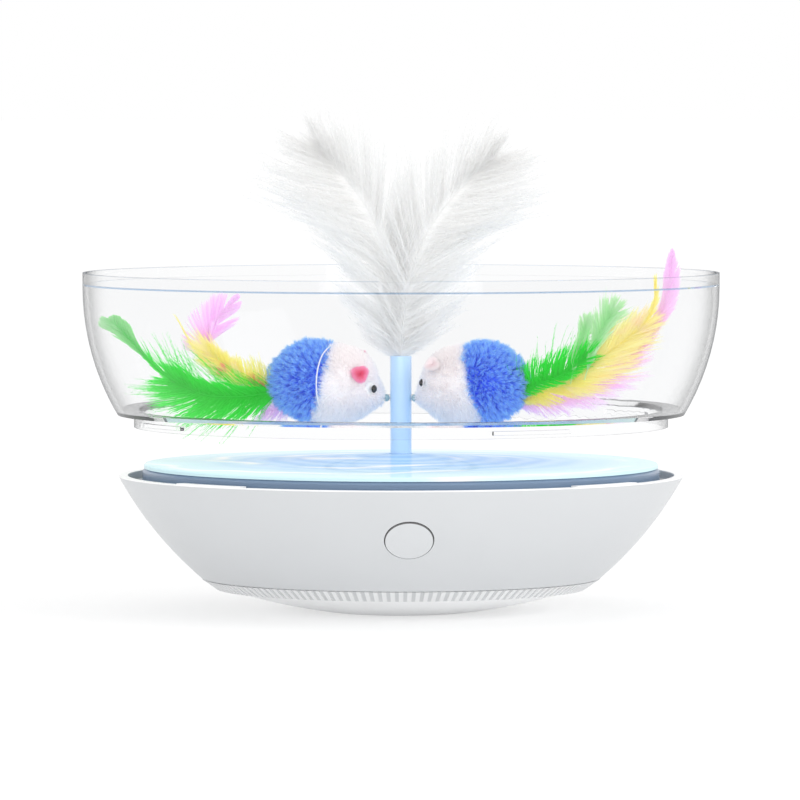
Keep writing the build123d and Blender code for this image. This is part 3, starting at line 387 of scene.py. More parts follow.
def clear_surface(start):
    """Water-clear polished plastic, grey where it is seen edge-on as painted shade. Thin painted lines stand
    for the blue seen through its ledge and for its rim. What stands inside it stays lit.
    """
    cloud = noise(start, 25.0, detail=1.0)
    edge_on = start.node("ShaderNodeLayerWeight", (), {"Blend": 0.5}, output="Facing")
    # Painted shade: grey grows where the surface is seen edge-on, for the dark reflections at the bowl's
    # edges.
    depth = edge_on.ramp(0.5, 1.0)
    clear = principled(
        start,
        Base_Color=rgb(0.955, 0.958, 0.962),
        Roughness=cloud * 0.01,
        IOR=1.49,
        Specular_IOR_Level=0.2,
        Specular_Tint=rgb(0.3, 0.3, 0.32),
        Transmission_Weight=1.0,
        Normal=bump(start, cloud, 0.02 * mm),
    )
    seen = blend(start, (depth**2.5) * 0.55, clear, see_through(start, rgb(0.16, 0.18, 0.21)))
    # Painted reflection: a thin blue line under the ledge on the front wall's inner face, for the blue disc
    # seen through it, and a faint tint along the rim, for its edge.
    height = along_axis(start, "Z")
    below = 1 - height.ramp(ledge_height, ledge_height + 0.1 * mm)
    ledge_refraction_line = height.ramp(ledge_height - 0.7 * mm, ledge_height - 0.55 * mm) * below
    leaving = start.node("ShaderNodeNewGeometry", output="Backfacing")
    inner = 1 - distance_out(start).ramp(ledge_radius, ledge_radius + 0.2 * mm)
    rim = height.ramp(rim_height - 0.35 * mm, rim_height - 0.2 * mm)
    line = ledge_refraction_line * leaving * inner * 0.7 + rim * 0.12
    with_painted_lines = blend(start, line, seen, see_through(start, rgb(0.28, 0.46, 0.70)))
    lit = light_path(start, "Shadow").larger(light_path(start, "Diffuse"))
    return blend(start, lit, with_painted_lines, see_through(start, rgb(0.99, 0.99, 0.992)))


def downy(name, root, tip, patch=None, thin=True):
    """Feather or fur, coloured from root to tip along each strand. Light passes through a thin one."""

    def surface(start):
        reach = start.node("ShaderNodeAttribute", {"attribute_name": "reach"}, output="Fac")
        cloud = noise(start, 110.0, detail=2.0)
        along = reach.tint(root, tip)
        colour = (cloud.ramp(0.5, 0.7) * 0.6).tint(along, patch) if patch else along
        front = principled(start, Base_Color=colour, Roughness=0.8, Specular_IOR_Level=0.05)
        if not thin:
            return front
        behind = start.node("ShaderNodeBsdfTranslucent", (), {"Color": tip})
        return blend(start, 0.4, front, behind)

    material(name, surface)


# Housing and works
material("white_plastic", shell_surface)
# Painted light: the foot is nearly white, lighter than the shell, for the bright floor beneath it.
moulded("foot_plastic", rgb(0.97, 0.975, 0.98), roughness=0.3, mottle=0.01)
material("ring_plastic", ring_surface)
material("button_plastic", button_surface)
moulded("inner_plastic", rgb(0.66, 0.67, 0.69), roughness=0.5)
moulded("slate_plastic", rgb(0.185, 0.27, 0.40), roughness=0.3, coat=0.1)
moulded("gear_plastic", rgb(0.80, 0.77, 0.68), roughness=0.4)
moulded("battery_wrap", rgb(0.20, 0.28, 0.48), roughness=0.3)
moulded("switch_plastic", rgb(0.03, 0.03, 0.035), roughness=0.4)
metal("steel", rgb(0.62, 0.62, 0.64), roughness=0.28)
metal("motor_can", rgb(0.66, 0.66, 0.68), roughness=0.35)
speckled("bronze", rgb(0.42, 0.26, 0.12), rgb(0.25, 0.14, 0.06), scale=900.0)
speckled("board", rgb(0.02, 0.16, 0.06), rgb(0.5, 0.42, 0.2), scale=260.0)
material("ripple_plastic", ripple_surface)
material("post_plastic", post_surface)
material("clear_plastic", clear_surface)

# Feathers, plush, felt and beads. The noses are pale, whatever their slot is called.
downy("white_feather", rgb(0.99, 0.985, 0.98), rgb(0.92, 0.918, 0.915))
downy("green_feather", rgb(0.01, 0.66, 0.02), rgb(0.04, 0.92, 0.07))
downy("bright_green_feather", rgb(0.05, 0.70, 0.07), rgb(0.38, 0.86, 0.36))
downy("pale_green_feather", rgb(0.36, 0.83, 0.33), rgb(0.74, 0.94, 0.68))
downy("yellow_feather", rgb(1.0, 0.88, 0.18), rgb(1.0, 0.97, 0.42))
downy("coral_feather", rgb(1.0, 0.32, 0.22), rgb(1.0, 0.60, 0.46))
downy("soft_yellow_feather", rgb(1.0, 0.91, 0.38), rgb(1.0, 0.98, 0.60), patch=rgb(1.0, 0.80, 0.78))
downy("pink_feather", rgb(0.98, 0.68, 0.95), rgb(1.0, 0.82, 1.0))
# Painted shade: the blue plush is darker at its roots, and its core as dark, for the shade deep in the pile.
downy("blue_plush", rgb(0.17, 0.40, 1.0), rgb(0.46, 0.77, 1.0))
downy("white_plush", rgb(1.0, 0.98, 0.985), rgb(1.0, 0.985, 0.985))
downy("blue_core", rgb(0.13, 0.32, 1.0), rgb(0.13, 0.32, 1.0), thin=False)
downy("white_core", rgb(1.0, 0.99, 0.98), rgb(1.0, 0.99, 0.98), thin=False)
downy("pink_felt", rgb(0.9, 0.09, 0.2), rgb(1.0, 0.48, 0.70))
downy("faint_felt", rgb(1.0, 0.90, 0.92), rgb(1.0, 0.97, 0.97))
moulded("bead_black", rgb(0.012, 0.009, 0.008), roughness=0.25, coat=0.2)
moulded("nose_dark", rgb(0.30, 0.46, 0.50), roughness=0.35)


def finish_frame():
    """Gives every node of the frame the finish of its slot."""
    for part in frame["record"]["subparts"]:
        node = frame["nodes"][part["node"]]
        finish = finishes[part["material_slot"]]
        for holder in node.material_slots:
            holder.link = "OBJECT"
            holder.material = finish


finish_frame()


# Meshes
def make_mesh(name, places, quads, triangles):
    """A smooth mesh: its faces of four corners first, then those of three."""
    mesh = bpy.data.meshes.new(name)
    corners = np.concatenate([quads.ravel(), triangles.ravel()]).astype(np.int32)
    sizes = np.concatenate([np.full(len(quads), 4), np.full(len(triangles), 3)])
    starts = np.concatenate([[0], np.cumsum(sizes)[:-1]]).astype(np.int32)
    mesh.vertices.add(len(places))
    mesh.vertices.foreach_set("co", places.astype(np.float32).ravel())
    mesh.loops.add(len(corners))
    mesh.loops.foreach_set("vertex_index", corners)
    mesh.polygons.add(len(sizes))
    mesh.polygons.foreach_set("loop_start", starts)
    mesh.update(calc_edges=True)
    mesh.validate()
    mesh.polygons.foreach_set("use_smooth", np.ones(len(sizes), dtype=bool))
    return mesh


def unit(vectors):
    return vectors / np.maximum(np.linalg.norm(vectors, axis=-1, keepdims=True), 1e-12)


def smooth_line(points, count, span_steps=16):
    """Evenly spaced places on a smooth line through the points."""
    known = np.array([list(point) for point in points])
    ends = np.vstack([2 * known[0] - known[1], known, 2 * known[-1] - known[-2]])
    step = np.linspace(0, 1, span_steps, endpoint=False)[:, None]
    fine = []
    for number in range(len(known) - 1):
        before, here, there, after = ends[number : number + 4]
        square = 2 * before - 5 * here + 4 * there - after
        cube = 3 * here - 3 * there + after - before
        bend = square * step**2 + cube * step**3
        fine.append(here + 0.5 * ((there - before) * step + bend))
    fine = np.vstack([*fine, known[-1:]])
    along = np.concatenate([[0], np.cumsum(np.linalg.norm(np.diff(fine, axis=0), axis=1))])
    wanted = np.linspace(0, along[-1], count)
    return np.stack([np.interp(wanted, along, fine[:, axis]) for axis in range(3)], axis=1)


def tapering(number, width, shares):
    """A width for each point of each strand, as shares of one width."""
    return np.ones((number, 1)) * np.array(shares) * width


# Round strands, and a slanted direction that none of them follows
tube_sides = 5
slanted = np.array([0.31, 0.87, 0.38])


class Strands:
    """Tapering strands, round or flat, gathered to become one mesh."""

    def __init__(self):
        self.places = []
        self.quads = []
        self.triangles = []
        self.reach = []
        self.finish = []
        self.count = 0

    def gather(self, places, quads, triangles, reach, finish):
        """Adds a mesh whose faces count their vertices from zero."""
        self.places.append(places)
        self.quads.append(quads + self.count)
        self.triangles.append(triangles + self.count)
        self.reach.append(reach)
        self.finish.append((len(quads), len(triangles), finish))
        self.count += len(places)

    def round(self, path, radii, finish=0, reach=0.5):
        """A round, pointed strand along one path."""
        run = unit(np.gradient(path, axis=0))
        across = unit(np.cross(run, slanted))
        thick = np.cross(across, run)
        turns = 2 * math.pi * np.arange(tube_sides) / tube_sides
        around = across[:, None] * np.cos(turns)[:, None] + thick[:, None] * np.sin(turns)[:, None]
        rings = (path[:, None] + around * radii[:, None, None])[:-1]
        places = np.concatenate([rings.reshape(-1, 3), path[-1:]])
        ring = np.arange(len(path) - 2)[:, None] * tube_sides
        side = np.arange(tube_sides)[None]
        after = (side + 1) % tube_sides
        up = ring + tube_sides
        quads = np.stack([ring + side, ring + after, up + after, up + side], axis=-1).reshape(-1, 4)
        last = (len(path) - 2) * tube_sides
        tip = np.full(tube_sides, len(places) - 1)
        tips = np.stack([last + side[0], last + after[0], tip], axis=-1)
        self.gather(places, quads, tips, np.full(len(places), reach), finish)

    def flat(self, paths, widths, facing, finish=0, reach_from=0.0, reach_to=1.0):
        """Flat strands along paths of equal point counts, square to their facing. Widths are half widths."""
        number, steps, _ = paths.shape
        across = unit(np.cross(unit(np.gradient(paths, axis=1)), facing[:, None, :])) * widths[..., None]
        edges = np.stack([paths - across, paths + across], axis=2)[:, :-1]
        each = 2 * steps - 1
        places = np.concatenate([edges.reshape(number, -1, 3), paths[:, -1:]], axis=1)
        base = (np.arange(number) * each)[:, None]
        step = 2 * np.arange(steps - 2)[None]
        quads = np.stack([base + step, base + step + 1, base + step + 3, base + step + 2], axis=-1)
        last = base + 2 * (steps - 2)
        tips = np.concatenate([last, last + 1, last + 2], axis=1)
        along = np.linspace(reach_from, reach_to, steps)
        reach = np.tile(np.concatenate([np.repeat(along[:-1], 2), along[-1:]]), number)
        self.gather(places.reshape(-1, 3), quads.reshape(-1, 4), tips, reach, finish)

    def piece(self, name, finish_names, body, slot_name):
        """One piece of all that was gathered, which rides on a body. It keeps how far along its strand each
        vertex lies, and each face has the number of its finish in the list of names."""
        gathered = (self.places, self.quads, self.triangles, self.reach)
        places, quads, triangles, reach = map(np.concatenate, gathered)
        mesh = make_mesh(name, places, quads, triangles)
        mesh.attributes.new("reach", "FLOAT", "POINT").data.foreach_set("value", reach.astype(np.float32))
        for finish in finish_names:
            mesh.materials.append(finishes[finish])
        quad_counts, triangle_counts, numbers = np.array(self.finish).T
        finish_of = np.concatenate([np.repeat(numbers, quad_counts), np.repeat(numbers, triangle_counts)])
        mesh.polygons.foreach_set("material_index", finish_of.astype(np.int32))
        piece = placed(name, mesh)
        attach(piece, body)
        return piece


def profile(places, pairs):
    """Values at the places, read between pairs of a place and its value."""
    known, values = np.array(pairs).T
    return np.interp(places, known, values)


def steps_at(shares, count):
    """For shares along a line of so many points: the point before each, and the part of a step past it."""
    where = shares * (count - 1)
    low = np.minimum(where.astype(int), count - 2)
    return low, (where - low)[..., None]


# Pairs of height and radius just inside the bowl's floor and wall, where it is lifted highest.
# Above its rim nothing is in the way. A barb that goes further out is shortened in rounds.
bowl_inside = np.array([
    (83.4, 101.9), (83.6, 109.0), (90.2, 112.5), (94.8, 114.5), (99.5, 116.3),
    (104.3, 117.9), (111.6, 119.7), (119.0, 121.0), (137.0, 121.8), (137.2, 500.0),
]) * mm
trim_rounds = 9
trim_share = 0.82


def kept_inside(roots, paths):
    """Shortens the barbs that would reach the bowl's wall or floor."""
    for _ in range(trim_rounds):
        allowed = profile(paths[..., 2], bowl_inside)
        out = (np.hypot(paths[..., 0], paths[..., 1]) > allowed).any(axis=1)
        paths[out] = roots[out][:, None] + (paths[out] - roots[out][:, None]) * trim_share
    return paths


def tuft_middles(tips, tuft, tufts):
    """The middle of each tuft's tips. A tuft without any has the first tip."""
    middles = np.tile(tips[0], (tufts, 1))
    for each in np.unique(tuft):
        middles[each] = tips[tuft == each].mean(axis=0)
    return middles


quill_points = 60
quill_tip_share = 0.3

# The down on a barb: where along it the down starts and for how much it goes on, its leans in degrees,
# and its lengths as shares: at the barb's root, lost towards its tip, shortest and longest
down_start_share = 0.06
down_run_share = 0.92
down_least_lean = 18
down_most_lean = 48
down_root_length = 1.05
down_length_loss = 0.5
down_shortest = 0.6
down_longest = 1.2

# Places in a piece's list of finishes. A feather grows in the first unless it has another.
second_finish = 1
third_finish = 2


class Feather:
    """One feather: a quill through spots of the photograph, and the barbs that grow from it."""

    def __init__(self, strands, spots, turn, off, quill_radius=0.3 * mm, finish=0):
        self.strands = strands
        self.line = smooth_line([spot(*place, turn, off) for place in spots], quill_points)
        self.facing = np.array(plane_facing(turn))
        self.finish = finish
        radii = np.linspace(quill_radius, quill_radius * quill_tip_share, quill_points)
        strands.round(self.line, radii, finish)

    def barbs(
        self, number, lengths, leans, width, sides=(1, -1), start=0.0, end=1.0,
        depth_deg=10.0, scatter_deg=4.0, roll_deg=14.0, curl=0.25, steps=7, ragged=0.1, taper=0.35,
        tufts=0, tuft_deg=5.0, pull=0.0, fluff=0, fluff_length=2.0 * mm, fluff_width=0.07 * mm,
    ):
        """Flat barbs from the sides of the quill, so many a side. Lengths in millimetres and leans in degrees
        are paired with shares along it. A tuft's barbs lean together, and pull gathers their tips."""
        lengths = [(share, length * mm) for share, length in lengths]
        for side in sides:
            order = (np.arange(number) + random.random(number)) / number
            shares = start + (end - start) * order
            low, part = steps_at(shares, quill_points)
            roots = self.line[low] * (1 - part) + self.line[low + 1] * part
            heading = unit(self.line[low + 1] - self.line[low])
            outward = unit(np.cross(self.facing, heading)) * side
            lean = np.radians(profile(shares, leans) + random.normal(0, scatter_deg, number))
            depth = np.radians(random.normal(0, depth_deg, number))
            length = profile(shares, lengths) * (1 + random.normal(0, ragged, number))
            if tufts:
                tuft = np.clip((order * tufts).astype(int), 0, tufts - 1)
                lean += np.radians(random.normal(0, tuft_deg, tufts))[tuft]
                depth += np.radians(random.normal(0, tuft_deg, tufts))[tuft]
                length *= (1 + random.normal(0, ragged, tufts))[tuft]
            away = outward * np.cos(depth)[:, None] + self.facing * np.sin(depth)[:, None]
            aim = heading * np.cos(lean)[:, None] + away * np.sin(lean)[:, None]
            step = np.linspace(0, 1, steps)[None, :, None]
            reach = length[:, None, None]
            paths = roots[:, None] + (aim[:, None] * step + heading[:, None] * curl * step**2) * reach
            if tufts and pull:
                tips = paths[:, -1]
                middles = tuft_middles(tips, tuft, tufts)
                paths = paths + (middles[tuft] - tips)[:, None] * pull * step**2
            paths = kept_inside(roots, paths)
            roll = random.normal(0, math.radians(roll_deg), number)[:, None]
            facing = self.facing * np.cos(roll) + unit(np.cross(self.facing, aim)) * np.sin(roll)
            widths = tapering(number, width, np.linspace(1, taper, steps))
            self.strands.flat(paths, widths, facing, self.finish)
            if fluff:
                self.barbules(paths, fluff, fluff_length, fluff_width)

    def barbules(self, paths, each, length, width):
        """Fine down along each barb, shorter towards its tip."""
        number, steps, _ = paths.shape
        order = np.arange(each)[None] + random.random((number, each))
        shares = down_start_share + down_run_share * order / each
        low, part = steps_at(shares, steps)
        rows = np.arange(number)[:, None]
        roots = paths[rows, low] * (1 - part) + paths[rows, low + 1] * part
        run = unit(paths[rows, low + 1] - paths[rows, low])
        aside = unit(np.cross(run, random.normal(size=run.shape)))
        lean = np.radians(random.uniform(down_least_lean, down_most_lean, (number, each)))[..., None]
        aim = run * np.cos(lean) + aside * np.sin(lean)
        spread = random.uniform(down_shortest, down_longest, shares.shape)
        reach = (length * (down_root_length - down_length_loss * shares) * spread)[..., None]
        ends = [roots, roots + aim * reach * 0.5, roots + aim * reach * 0.9 + run * reach * 0.2]
        fine = np.stack([end.reshape(-1, 3) for end in ends], axis=1)
        fine = kept_inside(fine[:, 0], fine)
        facing = random.normal(size=(len(fine), 3))
        widths = tapering(len(fine), width, (1.0, 0.75, 0.3))
        self.strands.flat(fine, widths, facing, self.finish, reach_from=0.5)


# Plumes: two soft white feathers, tied side by side in the post's top
left_plume_spots = ((399, 359), (397, 325), (393, 285), (384, 245), (367, 208), (345, 178), (322, 152))
right_plume_spots = ((402, 359), (404, 325), (409, 285), (421, 245), (441, 212), (465, 185), (487, 164))
outer_leans = ((0, 64), (0.1, 62), (0.25, 56), (0.5, 55), (0.7, 50), (0.85, 40), (1, 22))
inner_lean_share = 0.72
plume_barb_width = 0.17 * mm
plume_tip_start = 0.84


def make_plume(name, spots, outer_side, off):
    """A plume: long barbs on its outer side, shorter ones closer to the quill inside, a few at the tip."""
    inner_leans = [(share, lean * inner_lean_share) for share, lean in outer_leans]
    strands = Strands()
    plume = Feather(strands, spots, 0.0, off, quill_radius=0.4 * mm)
    shared = {
        "depth_deg": 11, "roll_deg": 28, "steps": 9, "ragged": 0.13,
        "tufts": 46, "tuft_deg": 4, "pull": 0.25, "fluff": 34, "fluff_length": 4.2 * mm,
    }
    outer = ((0, 15), (0.1, 23), (0.3, 27), (0.5, 36), (0.75, 34), (1, 13))
    inner = ((0, 12), (0.15, 18), (0.4, 25), (0.7, 27), (0.9, 19), (1, 12))
    plume.barbs(470, outer, outer_leans, plume_barb_width, sides=(outer_side,), curl=0.12, **shared)
    plume.barbs(420, inner, inner_leans, plume_barb_width, sides=(-outer_side,), curl=0.16, **shared)
    plume.barbs(
        44, ((plume_tip_start, 14), (1, 11)), ((plume_tip_start, 12), (1, 4)),
        plume_barb_width,
        start=plume_tip_start, curl=0.1,
        **{**shared, "scatter_deg": 9, "tufts": 12, "fluff": 12},
    )
    piece = strands.piece(name + "_down", ["white_feather"], "turntable", "white_feather")
    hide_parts(name)


make_plume("left_plume", left_plume_spots, -1, 0.5 * mm)
make_plume("right_plume", right_plume_spots, 1, -0.5 * mm)


# Tail feathers
def tail(name, finish_names, turn, layer, build):
    """One tail feather node's piece: the build function adds its feathers to the strands."""
    strands = Strands()
    build(strands, turn, layer * tail_layer)
    piece = strands.piece(name + "_down", finish_names, "turntable", finish_names[0])
    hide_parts(name)


def left_green(strands, turn, off):
    """A full vane with long loose wisps, then a thin neck, and a brighter fan at the tip."""
    spots = ((278, 392), (240, 397), (208, 396), (186, 388), (166, 376), (148, 360), (131, 341), (113, 321))
    full_to = 0.56
    fan_from = 0.74
    vane = Feather(strands, spots, turn, off, quill_radius=0.4 * mm)
    upper = (
        (0, 3), (0.12, 7), (0.26, 11), (0.36, 12), (0.47, 10), (full_to, 6),
    )
    lower = ((0, 8), (0.1, 13), (0.3, 15), (0.45, 14), (full_to, 8))
    for side, lengths in ((1, upper), (-1, lower)):
        vane.barbs(
            260, lengths, ((0, 46), (0.25, 42), (0.5, 34), (full_to, 24)),
            width=0.3 * mm, sides=(side,), end=full_to, depth_deg=7, tufts=30, tuft_deg=3, pull=0.25,
            fluff=8, fluff_length=1.6 * mm,
        )
    vane.barbs(
        120, ((0, 10), (0.2, 17), (0.45, 17), (full_to, 13)),
        ((0, 58), (0.25, 54), (0.5, 46), (full_to, 34)),
        width=0.11 * mm, end=full_to, depth_deg=15, scatter_deg=9, ragged=0.2, tufts=26, tuft_deg=8,
        pull=0.5, fluff=12,
    )
    vane.barbs(
        46, ((0.5, 13), (0.62, 10), (0.75, 7)), ((0.5, 20), (0.75, 12)),
        width=0.14 * mm, sides=(1,), start=0.5, end=0.72, depth_deg=7, tufts=9, tuft_deg=6,
    )
    vane.barbs(
        70, ((0.5, 5), (0.8, 2.4)), ((0.5, 15), (0.8, 8)),
        width=0.26 * mm, start=0.5, end=0.82, depth_deg=4,
    )
    vane.finish = second_finish
    for side, lengths, leans in (
        (1, ((fan_from, 11), (0.88, 8), (1, 2.5)), ((fan_from, 10), (0.88, 26), (1, 40))),
        (-1, ((fan_from, 8), (0.88, 12.5), (1, 5)), ((fan_from, 8), (0.88, 24), (1, 32))),
    ):
        vane.barbs(
            150, lengths, leans,
            width=0.34 * mm, sides=(side,), start=fan_from, depth_deg=3, scatter_deg=2,
            ragged=0.04, curl=0.05, taper=0.9, tufts=6, tuft_deg=2,
        )
    vane.barbs(
        60, ((0.9, 6.5), (1, 2.5)), ((0.9, 12), (1, 16)),
        width=0.34 * mm, start=0.9, depth_deg=3, scatter_deg=9, ragged=0.04, curl=0.05, taper=0.9,
    )


def left_yellow(strands, turn, off):
    """A soft puff, pinkish towards its end, with a thin wisp beyond it and three coral tufts in it."""
    puff_spots = ((278, 393), (258, 386), (240, 378), (224, 366), (210, 354))
    wisp_spots = ((226, 380), (208, 366), (195, 350), (183, 330), (175, 317))
    coral_spots = (((226, 374), (222, 369)), ((258, 386), (253, 379)), ((267, 392), (260, 388)))
    puff = Feather(strands, puff_spots, turn, off)
    puff.barbs(
        150, ((0, 11), (0.3, 11), (0.55, 7), (1, 4)),
        ((0, 84), (0.5, 64), (1, 34)),
        width=0.26 * mm, sides=(1,), depth_deg=16, scatter_deg=9, tufts=14, pull=0.3, fluff=14,
    )
    puff.barbs(
        80, ((0, 4), (1, 5)), ((0, 60), (1, 25)),
        width=0.22 * mm, sides=(-1,), depth_deg=16, fluff=10,
    )
    wisp = Feather(strands, wisp_spots, turn, off)
    wisp.barbs(
        26, ((0, 5), (0.4, 2.5), (1, 1.5)), ((0, 34), (1, 10)),
        width=0.16 * mm, depth_deg=6,
    )
    puff.finish = second_finish
    puff.barbs(
        120, ((0.45, 6), (0.8, 9), (1, 10)), ((0.45, 48), (1, 12)),
        width=0.26 * mm, start=0.45, depth_deg=10, scatter_deg=8, tufts=10, pull=0.3, fluff=12,
    )
    for spots in coral_spots:
        coral = Feather(strands, spots, turn, off, quill_radius=0.2 * mm, finish=third_finish)
        coral.barbs(
            30, ((0, 3), (1, 2)), ((0, 60), (1, 40)),
            width=0.24 * mm, depth_deg=25, scatter_deg=20, fluff=8,
        )


def left_pink(strands, turn, off):
    """A quill that bends back to a split vane at its tip, and a few loose barbs lower down."""
    vane_spots = ((262, 392), (236, 378), (214, 360), (205, 344), (214, 322), (235, 300))
    under_spots = ((290, 407), (276, 410), (262, 412))
    vane = Feather(strands, vane_spots, turn, off, quill_radius=0.22 * mm)
    vane.barbs(
        150, ((0.5, 11), (0.62, 13), (0.8, 10), (1, 3)),
        ((0.5, 44), (0.75, 32), (1, 8)),
        width=0.34 * mm, start=0.5, depth_deg=3, scatter_deg=1.5, ragged=0.03, curl=0.1, taper=0.6,
        tufts=7, tuft_deg=5, pull=0.2,
    )
    vane.barbs(
        70, ((0, 4), (0.5, 7)), ((0, 60), (0.5, 34)),
        width=0.18 * mm, end=0.5, depth_deg=16, scatter_deg=10, fluff=10,
    )
    under = Feather(strands, under_spots, turn, off)
    under.barbs(
        50, ((0, 5), (1, 4)), ((0, 62), (1, 40)),
        width=0.16 * mm, depth_deg=18, scatter_deg=12, fluff=10,
    )


def right_green(strands, turn, off):
    """A ragged tuft that stands up from its quill, and two pale fans that rise beyond it."""
    tuft_spots = ((520, 392), (534, 386), (552, 379), (570, 370), (586, 358))
    fans = (
        (((570, 384), (575, 360), (582, 338), (586, 324)), 6.5),
        (((584, 380), (592, 354), (600, 332), (610, 314)), 11),
    )
    tuft = Feather(strands, tuft_spots, turn, off, quill_radius=0.35 * mm)
    tuft.barbs(
        190, ((0, 9), (0.3, 11), (0.7, 10), (1, 7)),
        ((0, 92), (0.3, 74), (0.7, 48), (1, 28)),
        width=0.27 * mm, sides=(-1,), depth_deg=14, scatter_deg=9, tufts=16, tuft_deg=8, pull=0.45,
        fluff=12,
    )
    tuft.barbs(
        60, ((0, 12), (0.5, 15), (1, 10)), ((0, 100), (0.3, 76), (0.7, 50), (1, 28)),
        width=0.11 * mm, sides=(-1,), depth_deg=14, scatter_deg=12, ragged=0.2, tufts=14,
        tuft_deg=10, fluff=12,
    )
    tuft.barbs(
        90, ((0, 4), (1, 6)), ((0, 50), (1, 30)),
        width=0.24 * mm, sides=(1,), depth_deg=14, fluff=12,
    )
    for spots, reach in fans:
        fan = Feather(strands, spots, turn, off, quill_radius=0.22 * mm, finish=second_finish)
        fan.barbs(
            120, ((0.15, 5), (0.55, reach), (0.85, reach * 0.9), (1, reach * 0.6)),
            ((0.15, 14), (0.6, 26), (1, 42)),
            width=0.24 * mm, start=0.15, depth_deg=4, scatter_deg=3, curl=0.1, taper=0.6, tufts=12,
            tuft_deg=4,
        )
        fan.barbs(
            50, ((0.88, reach * 0.7), (1, reach * 0.6)), ((0.88, 10), (1, 16)),
            width=0.24 * mm, start=0.88, depth_deg=4, scatter_deg=10, taper=0.6,
        )


def right_yellow(strands, turn, off):
    """A long plume that sweeps up, yellow at both ends and pinkish over its full middle."""
    spots = ((514, 398), (545, 392), (573, 380), (599, 359), (623, 341), (642, 325), (653, 303), (655, 283))
    plume = Feather(strands, spots, turn, off, quill_radius=0.35 * mm)
    plume.barbs(
        130, ((0, 5), (0.15, 7), (0.35, 9)), ((0, 50), (0.35, 40)),
        width=0.24 * mm, end=0.35, depth_deg=14, scatter_deg=7, tufts=12, pull=0.3, fluff=12,
    )
    plume.barbs(
        90, ((0.66, 9), (0.8, 6), (1, 3)), ((0.66, 16), (1, 6)),
        width=0.24 * mm, start=0.62, depth_deg=5, scatter_deg=3,
    )
    plume.finish = second_finish
    plume.barbs(
        260, ((0.2, 11), (0.4, 17), (0.6, 14), (0.78, 7)),
        ((0.2, 42), (0.5, 36), (0.78, 20)),
        width=0.27 * mm, start=0.2, end=0.76, depth_deg=9, scatter_deg=6, tufts=20, tuft_deg=6,
        pull=0.35, fluff=14,
    )


def right_pink(strands, turn, off):
    """A long quill below the yellow one, downy at first, with a smooth narrow blade at its tip."""
    spots = (
        (516, 403), (550, 403), (590, 392), (622, 370), (645, 338),
        (660, 314), (668, 288), (671, 264), (672, 252),
    )
    blade = Feather(strands, spots, turn, off, quill_radius=0.24 * mm)
    blade.barbs(
        170, ((0.6, 7), (0.72, 10), (0.84, 10.5), (0.94, 6), (1, 1.5)),
        ((0.6, 18), (0.8, 19), (1, 6)),
        width=0.34 * mm, start=0.6, depth_deg=3, scatter_deg=1, ragged=0.03, curl=0.03, taper=0.75,
    )
    blade.barbs(
        200, ((0, 4), (0.2, 7), (0.45, 10), (0.62, 7)),
        ((0, 60), (0.4, 44), (0.62, 26)),
        width=0.22 * mm, end=0.62, depth_deg=12, scatter_deg=7, tufts=18, tuft_deg=7, pull=0.35,
        fluff=12,
    )


both_yellows = ["yellow_feather", "soft_yellow_feather"]
left_greens = ["green_feather", "bright_green_feather"]
right_greens = ["green_feather", "pale_green_feather"]
tail("left_green_feather", left_greens, left_turn, -1, left_green)
tail("left_yellow_feather", [*both_yellows, "coral_feather"], left_turn, 0, left_yellow)
tail("left_pink_feather", ["pink_feather"], left_turn, 1, left_pink)
tail("right_pink_feather", ["pink_feather"], right_turn, 1, right_pink)
tail("right_yellow_feather", both_yellows, right_turn, 0, right_yellow)
tail("right_green_feather", right_greens, right_turn, -1, right_green)


# Plush
mouse_middle_out = 29.2 * mm
mouse_middle_height = 89.3 * mm
mouse_half_sizes = np.array([23.0, 14.0, 16.25]) * mm
plush_voxel = 1.1 * mm
upright = np.array([0.0, 0.0, 1.0])

# Fur: its shortest and longest strand as shares of its length, how far strands and clumps stray, how much
# a strand bows, and where the core lies on the way from root colour to tip colour
fur_shortest_share = 0.7
fur_longest_share = 1.15
strand_stray = 0.16
clump_stray = 0.22
fur_bow = 0.1
core_reach = 0.1


def heading_out(turn):
    """The way that a mouse lies: level, out from the post."""
    return np.array([math.cos(turn), math.sin(turn), 0.0])


def mouse_middle(turn):
    return heading_out(turn) * mouse_middle_out + upright * mouse_middle_height


def remeshed(node, voxel):
    """A smooth closed copy of a node's form: its places, normals and faces."""
    source = placed("form", node.data.copy())
    remesh = source.modifiers.new("even", "REMESH")
    remesh.mode = "VOXEL"
    remesh.voxel_size = voxel
    settle = source.modifiers.new("settle", "SMOOTH")
    settle.iterations = 4
    settle.factor = 0.5
    graph = bpy.context.evaluated_depsgraph_get()
    mesh = bpy.data.meshes.new_from_object(source.evaluated_get(graph))
    places = np.empty(len(mesh.vertices) * 3, np.float32)
    normals = np.empty(len(mesh.vertices) * 3, np.float32)
    mesh.vertices.foreach_get("co", places)
    mesh.vertices.foreach_get("normal", normals)
    quads = np.array([list(face.vertices) for face in mesh.polygons if len(face.vertices) == 4])
    bpy.data.objects.remove(source)
    return places.reshape(-1, 3).astype(float), normals.reshape(-1, 3).astype(float), quads


def slimmer(places, turn, inset):
    """Places on a mouse drawn in towards its middle, by the inset where they lie on its skin."""
    along = heading_out(turn)
    axes = np.stack([along, np.cross(upright, along), upright])
    middle = mouse_middle(turn)
    own = (places - middle) @ axes.T
    return middle + (own * (1 - inset / mouse_half_sizes)) @ axes


def clear_of(places, neighbour, gap):
    """Which places lie further than the gap from another node."""
    mesh = frame["nodes"][neighbour].data
    corners = [vertex.co for vertex in mesh.vertices]
    tree = BVHTree.FromPolygons(corners, [tuple(face.vertices) for face in mesh.polygons])
    return np.array([tree.find_nearest(Vector(place))[3] > gap for place in places])


def nearest_of(places, roots):
    """For each root, the number of the nearest place."""
    finder = KDTree(len(places))
    for index, place in enumerate(places):
        finder.insert(Vector(place), index)
    finder.balance()
    return np.array([finder.find(Vector(root))[1] for root in roots])


